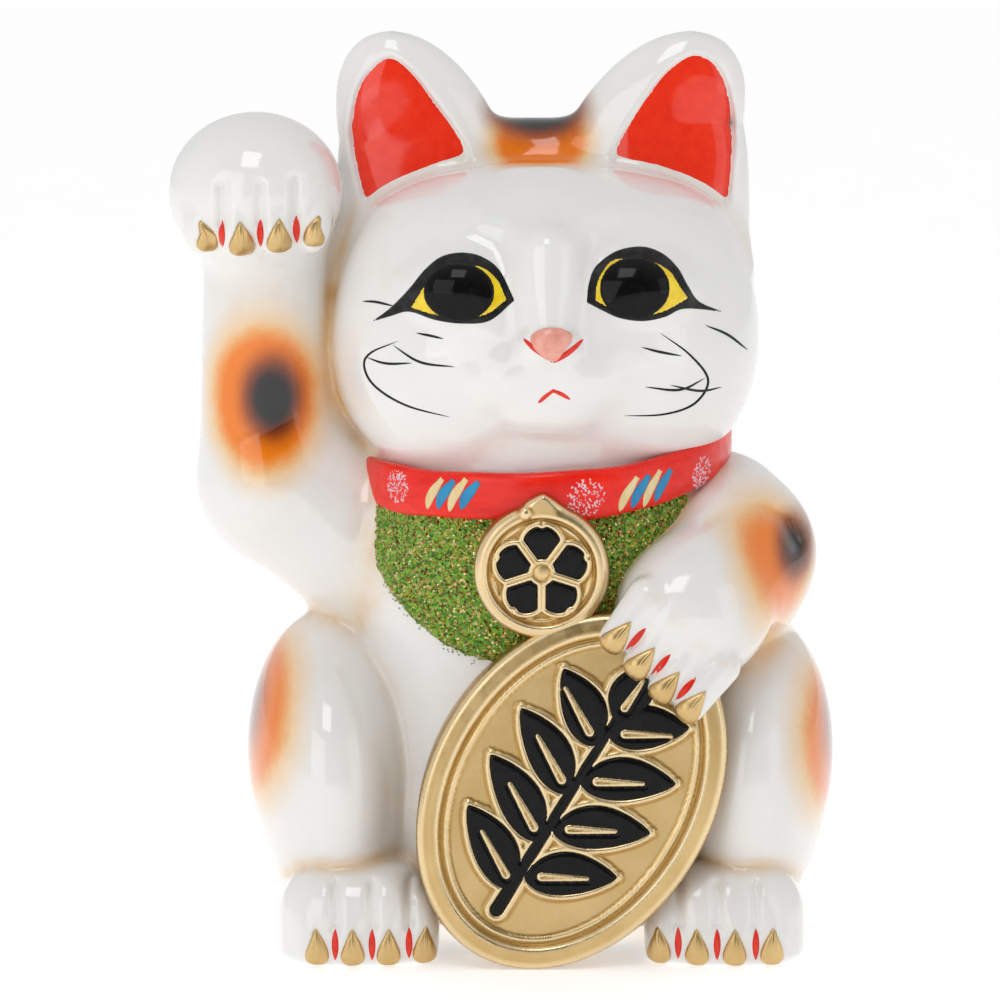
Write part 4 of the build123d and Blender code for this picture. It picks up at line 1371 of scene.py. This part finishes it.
def blossom(q):
    """A plum blossom of five notched petals round a bud."""
    far, angle = np.linalg.norm(q, axis=1), np.arctan2(q[:, 0], q[:, 1])
    off = (angle + math.pi / 5) % (2 * math.pi / 5) - math.pi / 5  # from the middle of the nearest petal
    x, y = far * np.sin(off), far * np.cos(off)
    petal = np.hypot(x, y - 7.4) - 5.3
    notch = np.hypot(x, y - 13.4) - 1.3
    parting = far * np.sin(math.pi / 5 - np.abs(off))
    return np.maximum(np.maximum(petal, -notch), np.maximum(0.95 - parting, 3.4 - far))


def medal_height(q):
    e = -medal_outline(q)
    far = np.linalg.norm(q, axis=1)
    h = -2.6 * (1.0 - round_over(e, 2.6))
    h += MEDAL_FIELD * smooth(MEDAL_R - far, 3.0, 4.3) * smooth(far, 0.0, 1.0)
    h += ridge(far, MEDAL_R - 4.9, 0.6, 0.45)
    h = np.maximum(h, np.where(far < 2.7, MEDAL_FIELD + 1.3 * round_over(2.7 - far, 2.2), DEEP))
    for a in circle(5) + math.pi / 5:
        way = np.array([math.sin(a), math.cos(a)])
        stamen = bar(q, 2.0 * way, 10.0 * way, 0.6, 0.35)
        h = np.maximum(h, np.where(stamen < 0.5, MEDAL_FIELD + ridge(stamen, 0.0, 0.6, 0.9), DEEP))
    knob = np.linalg.norm(q - (-4.4, MEDAL_R - 2.2), axis=1)
    h = np.maximum(h, np.where(knob < 1.8, -0.4 + 1.5 * round_over(1.8 - knob, 1.7), DEEP))
    f = blossom(q)
    h = np.maximum(h, np.where(np.abs(f - 0.45) < 0.95, ridge(f, 0.45, 0.95, 1.25) - 1.6, DEEP))
    return h - 0.2 * smooth(-f, 0.2, 0.9)


step = 0.36
solid, cavity = MEDAL.solid(medal_outline, medal_height, (19.0, 24.4), step, 9.0)
medal = piece("medallion_gilt", solid, GOLD, "medallion")
attribute(medal, "cavity", cavity)
inlaid = MEDAL.inlay(blossom, medal_height, (14.0, 14.0), step, -0.85)
piece("medallion_blossom_enamel", inlaid, BLACK, "medallion_motif")


# ---- stopper ----
def lathe(profile, centre, around=72):
    """A solid of revolution about a vertical axis; the profile runs from the axis to the axis."""
    profile = np.asarray(profile, float)
    a = circle(around)
    mid = profile[1:-1]
    pts = np.stack([mid[:, :1] * np.cos(a), mid[:, :1] * np.sin(a), np.repeat(mid[:, 1:], around, 1)], -1)
    pts = np.concatenate([pts.reshape(-1, 3), [(0, 0, profile[0, 1]), (0, 0, profile[-1, 1])]])
    k = np.arange(around)
    m = (k + 1) % around
    rows = np.arange(len(mid) - 1)[:, None] * around
    sides = halves(rows + k, rows + m, rows + m + around, rows + k + around)
    poles = len(mid) * around + np.array([[0], [1]]) + k * 0
    last = (len(mid) - 1) * around
    return pts + np.asarray(centre), np.concatenate([sides, np.stack([poles[0], m, k], 1),
                                                     np.stack([poles[1], last + k, last + m], 1)])


tall = STOPPER_HI[2] - STOPPER_LO[2]
flange = (STOPPER_HI[0] - STOPPER_LO[0]) / 2
plug = HOLE_RADIUS - 0.3
profile = [(0.0, 0.5), (7.4, 0.5), (7.8, 0.2), (8.2, 0.0), (9.4, 0.0), (9.8, 0.2), (10.2, 0.5),
           (flange - 1.2, 0.45), (flange - 0.4, 0.65), (flange, 1.0), (flange, 1.3), (flange - 0.4, 1.6),
           (plug + 0.4, 1.7), (plug, 2.0), (plug - 0.5, 4.0), (plug - 0.1, 5.2), (plug - 0.1, 6.0),
           (plug - 0.8, 7.2), (plug - 1.4, tall - 0.8), (plug - 2.2, tall), (plug - 4.0, tall),
           (plug - 4.4, tall - 0.4), (plug - 4.6, 3.0), (plug - 5.0, 2.4), (0.0, 2.4)]
stopper = piece("stopper", lathe(profile, (*HOLE, STOPPER_LO[2])), RUBBER, "base_stopper", body="stopper")
stopper.data.set_sharp_from_angle(angle=math.radians(50.0))


# ---- stage ----
FLOOR_MM = 6000.0
floor = new_object("floor", np.array([(-1, -1, 0), (1, -1, 0), (1, 1, 0), (-1, 1, 0)]) * FLOOR_MM,
                   [(0, 1, 2, 3)], smooth=False)
floor.location = (0, 0, -0.0002)
pale = Finish("pale_floor")
tone = pale.tint((0.90, 0.90, 0.90), pale.noise(60.0, 2.0), 0.3, 0.7, (0.92, 0.92, 0.915))
pale.feed(pale.shader.inputs["Emission Color"], (1.0, 1.0, 1.0, 1.0))
pale.feed(pale.shader.inputs["Emission Strength"], 0.42)
floor.data.materials.append(pale.set(color=tone, rough=0.6, specular=0.1))


def aim(obj, place, target):
    """Stand a light or the camera at a place, looking at a target."""
    obj.location = place
    obj.rotation_euler = (Vector(target) - Vector(place)).to_track_quat("-Z", "Y").to_euler()


for name, place, height, size, power in (("left_box", (-0.72, -1.08, 0.50), 0.14, (0.78, 0.9), 3.2),
                                         ("right_box", (1.05, -0.72, 0.42), 0.12, (0.55, 1.0), 1.3),
                                         ("top_box", (-0.15, -0.72, 1.15), 0.14, (0.42, 0.5), 2.4)):
    light = bpy.data.lights.new(name, "AREA")
    light.energy, light.shape = power, "RECTANGLE"
    light.size, light.size_y = size
    aim(scene_object(name, light), place, (0, 0, height))


def studio_world():
    """Plain white behind the object; round it soft light that is dim on the camera's side."""
    world = bpy.data.worlds.new("studio")
    nodes = Nodes(world)
    back = nodes.tree.nodes["Background"]
    where = nodes.add("TexCoord").outputs["Generated"]
    toward_camera = nodes.add("VectorMath", {0: where, 1: (0.0, -0.98, 0.15)}, operation="DOT_PRODUCT")
    light = nodes.span(toward_camera.outputs["Value"], 0.25, 0.97, AMBIENT, AMBIENT_FRONT)
    seen = nodes.add("LightPath").outputs["Is Camera Ray"]
    nodes.feed(back.inputs["Color"], (1.0, 1.0, 1.0, 1.0))
    nodes.feed(back.inputs["Strength"], nodes.add("Mix", {0: seen, 2: light, 3: 1.0}).outputs[0])
    bpy.context.scene.world = world


AMBIENT, AMBIENT_FRONT = 0.72, 0.12
studio_world()
bpy.context.scene.view_settings.view_transform = "Standard"

# ---- camera ----
DISTANCE, RISE = 1.3, math.radians(8.5)  # metres from the target, and the angle it looks down at
WIDTH_SEEN = 0.28  # metres across the picture, at the target
TARGET = Vector((-0.0126, 0, 0.1193))
cam = bpy.data.cameras.new("camera")
cam.sensor_width = 36.0
cam.lens = cam.sensor_width * DISTANCE / WIDTH_SEEN
camera = scene_object("camera", cam)
aim(camera, TARGET + DISTANCE * Vector((0, -math.cos(RISE), math.sin(RISE))), TARGET)
bpy.context.scene.camera = camera
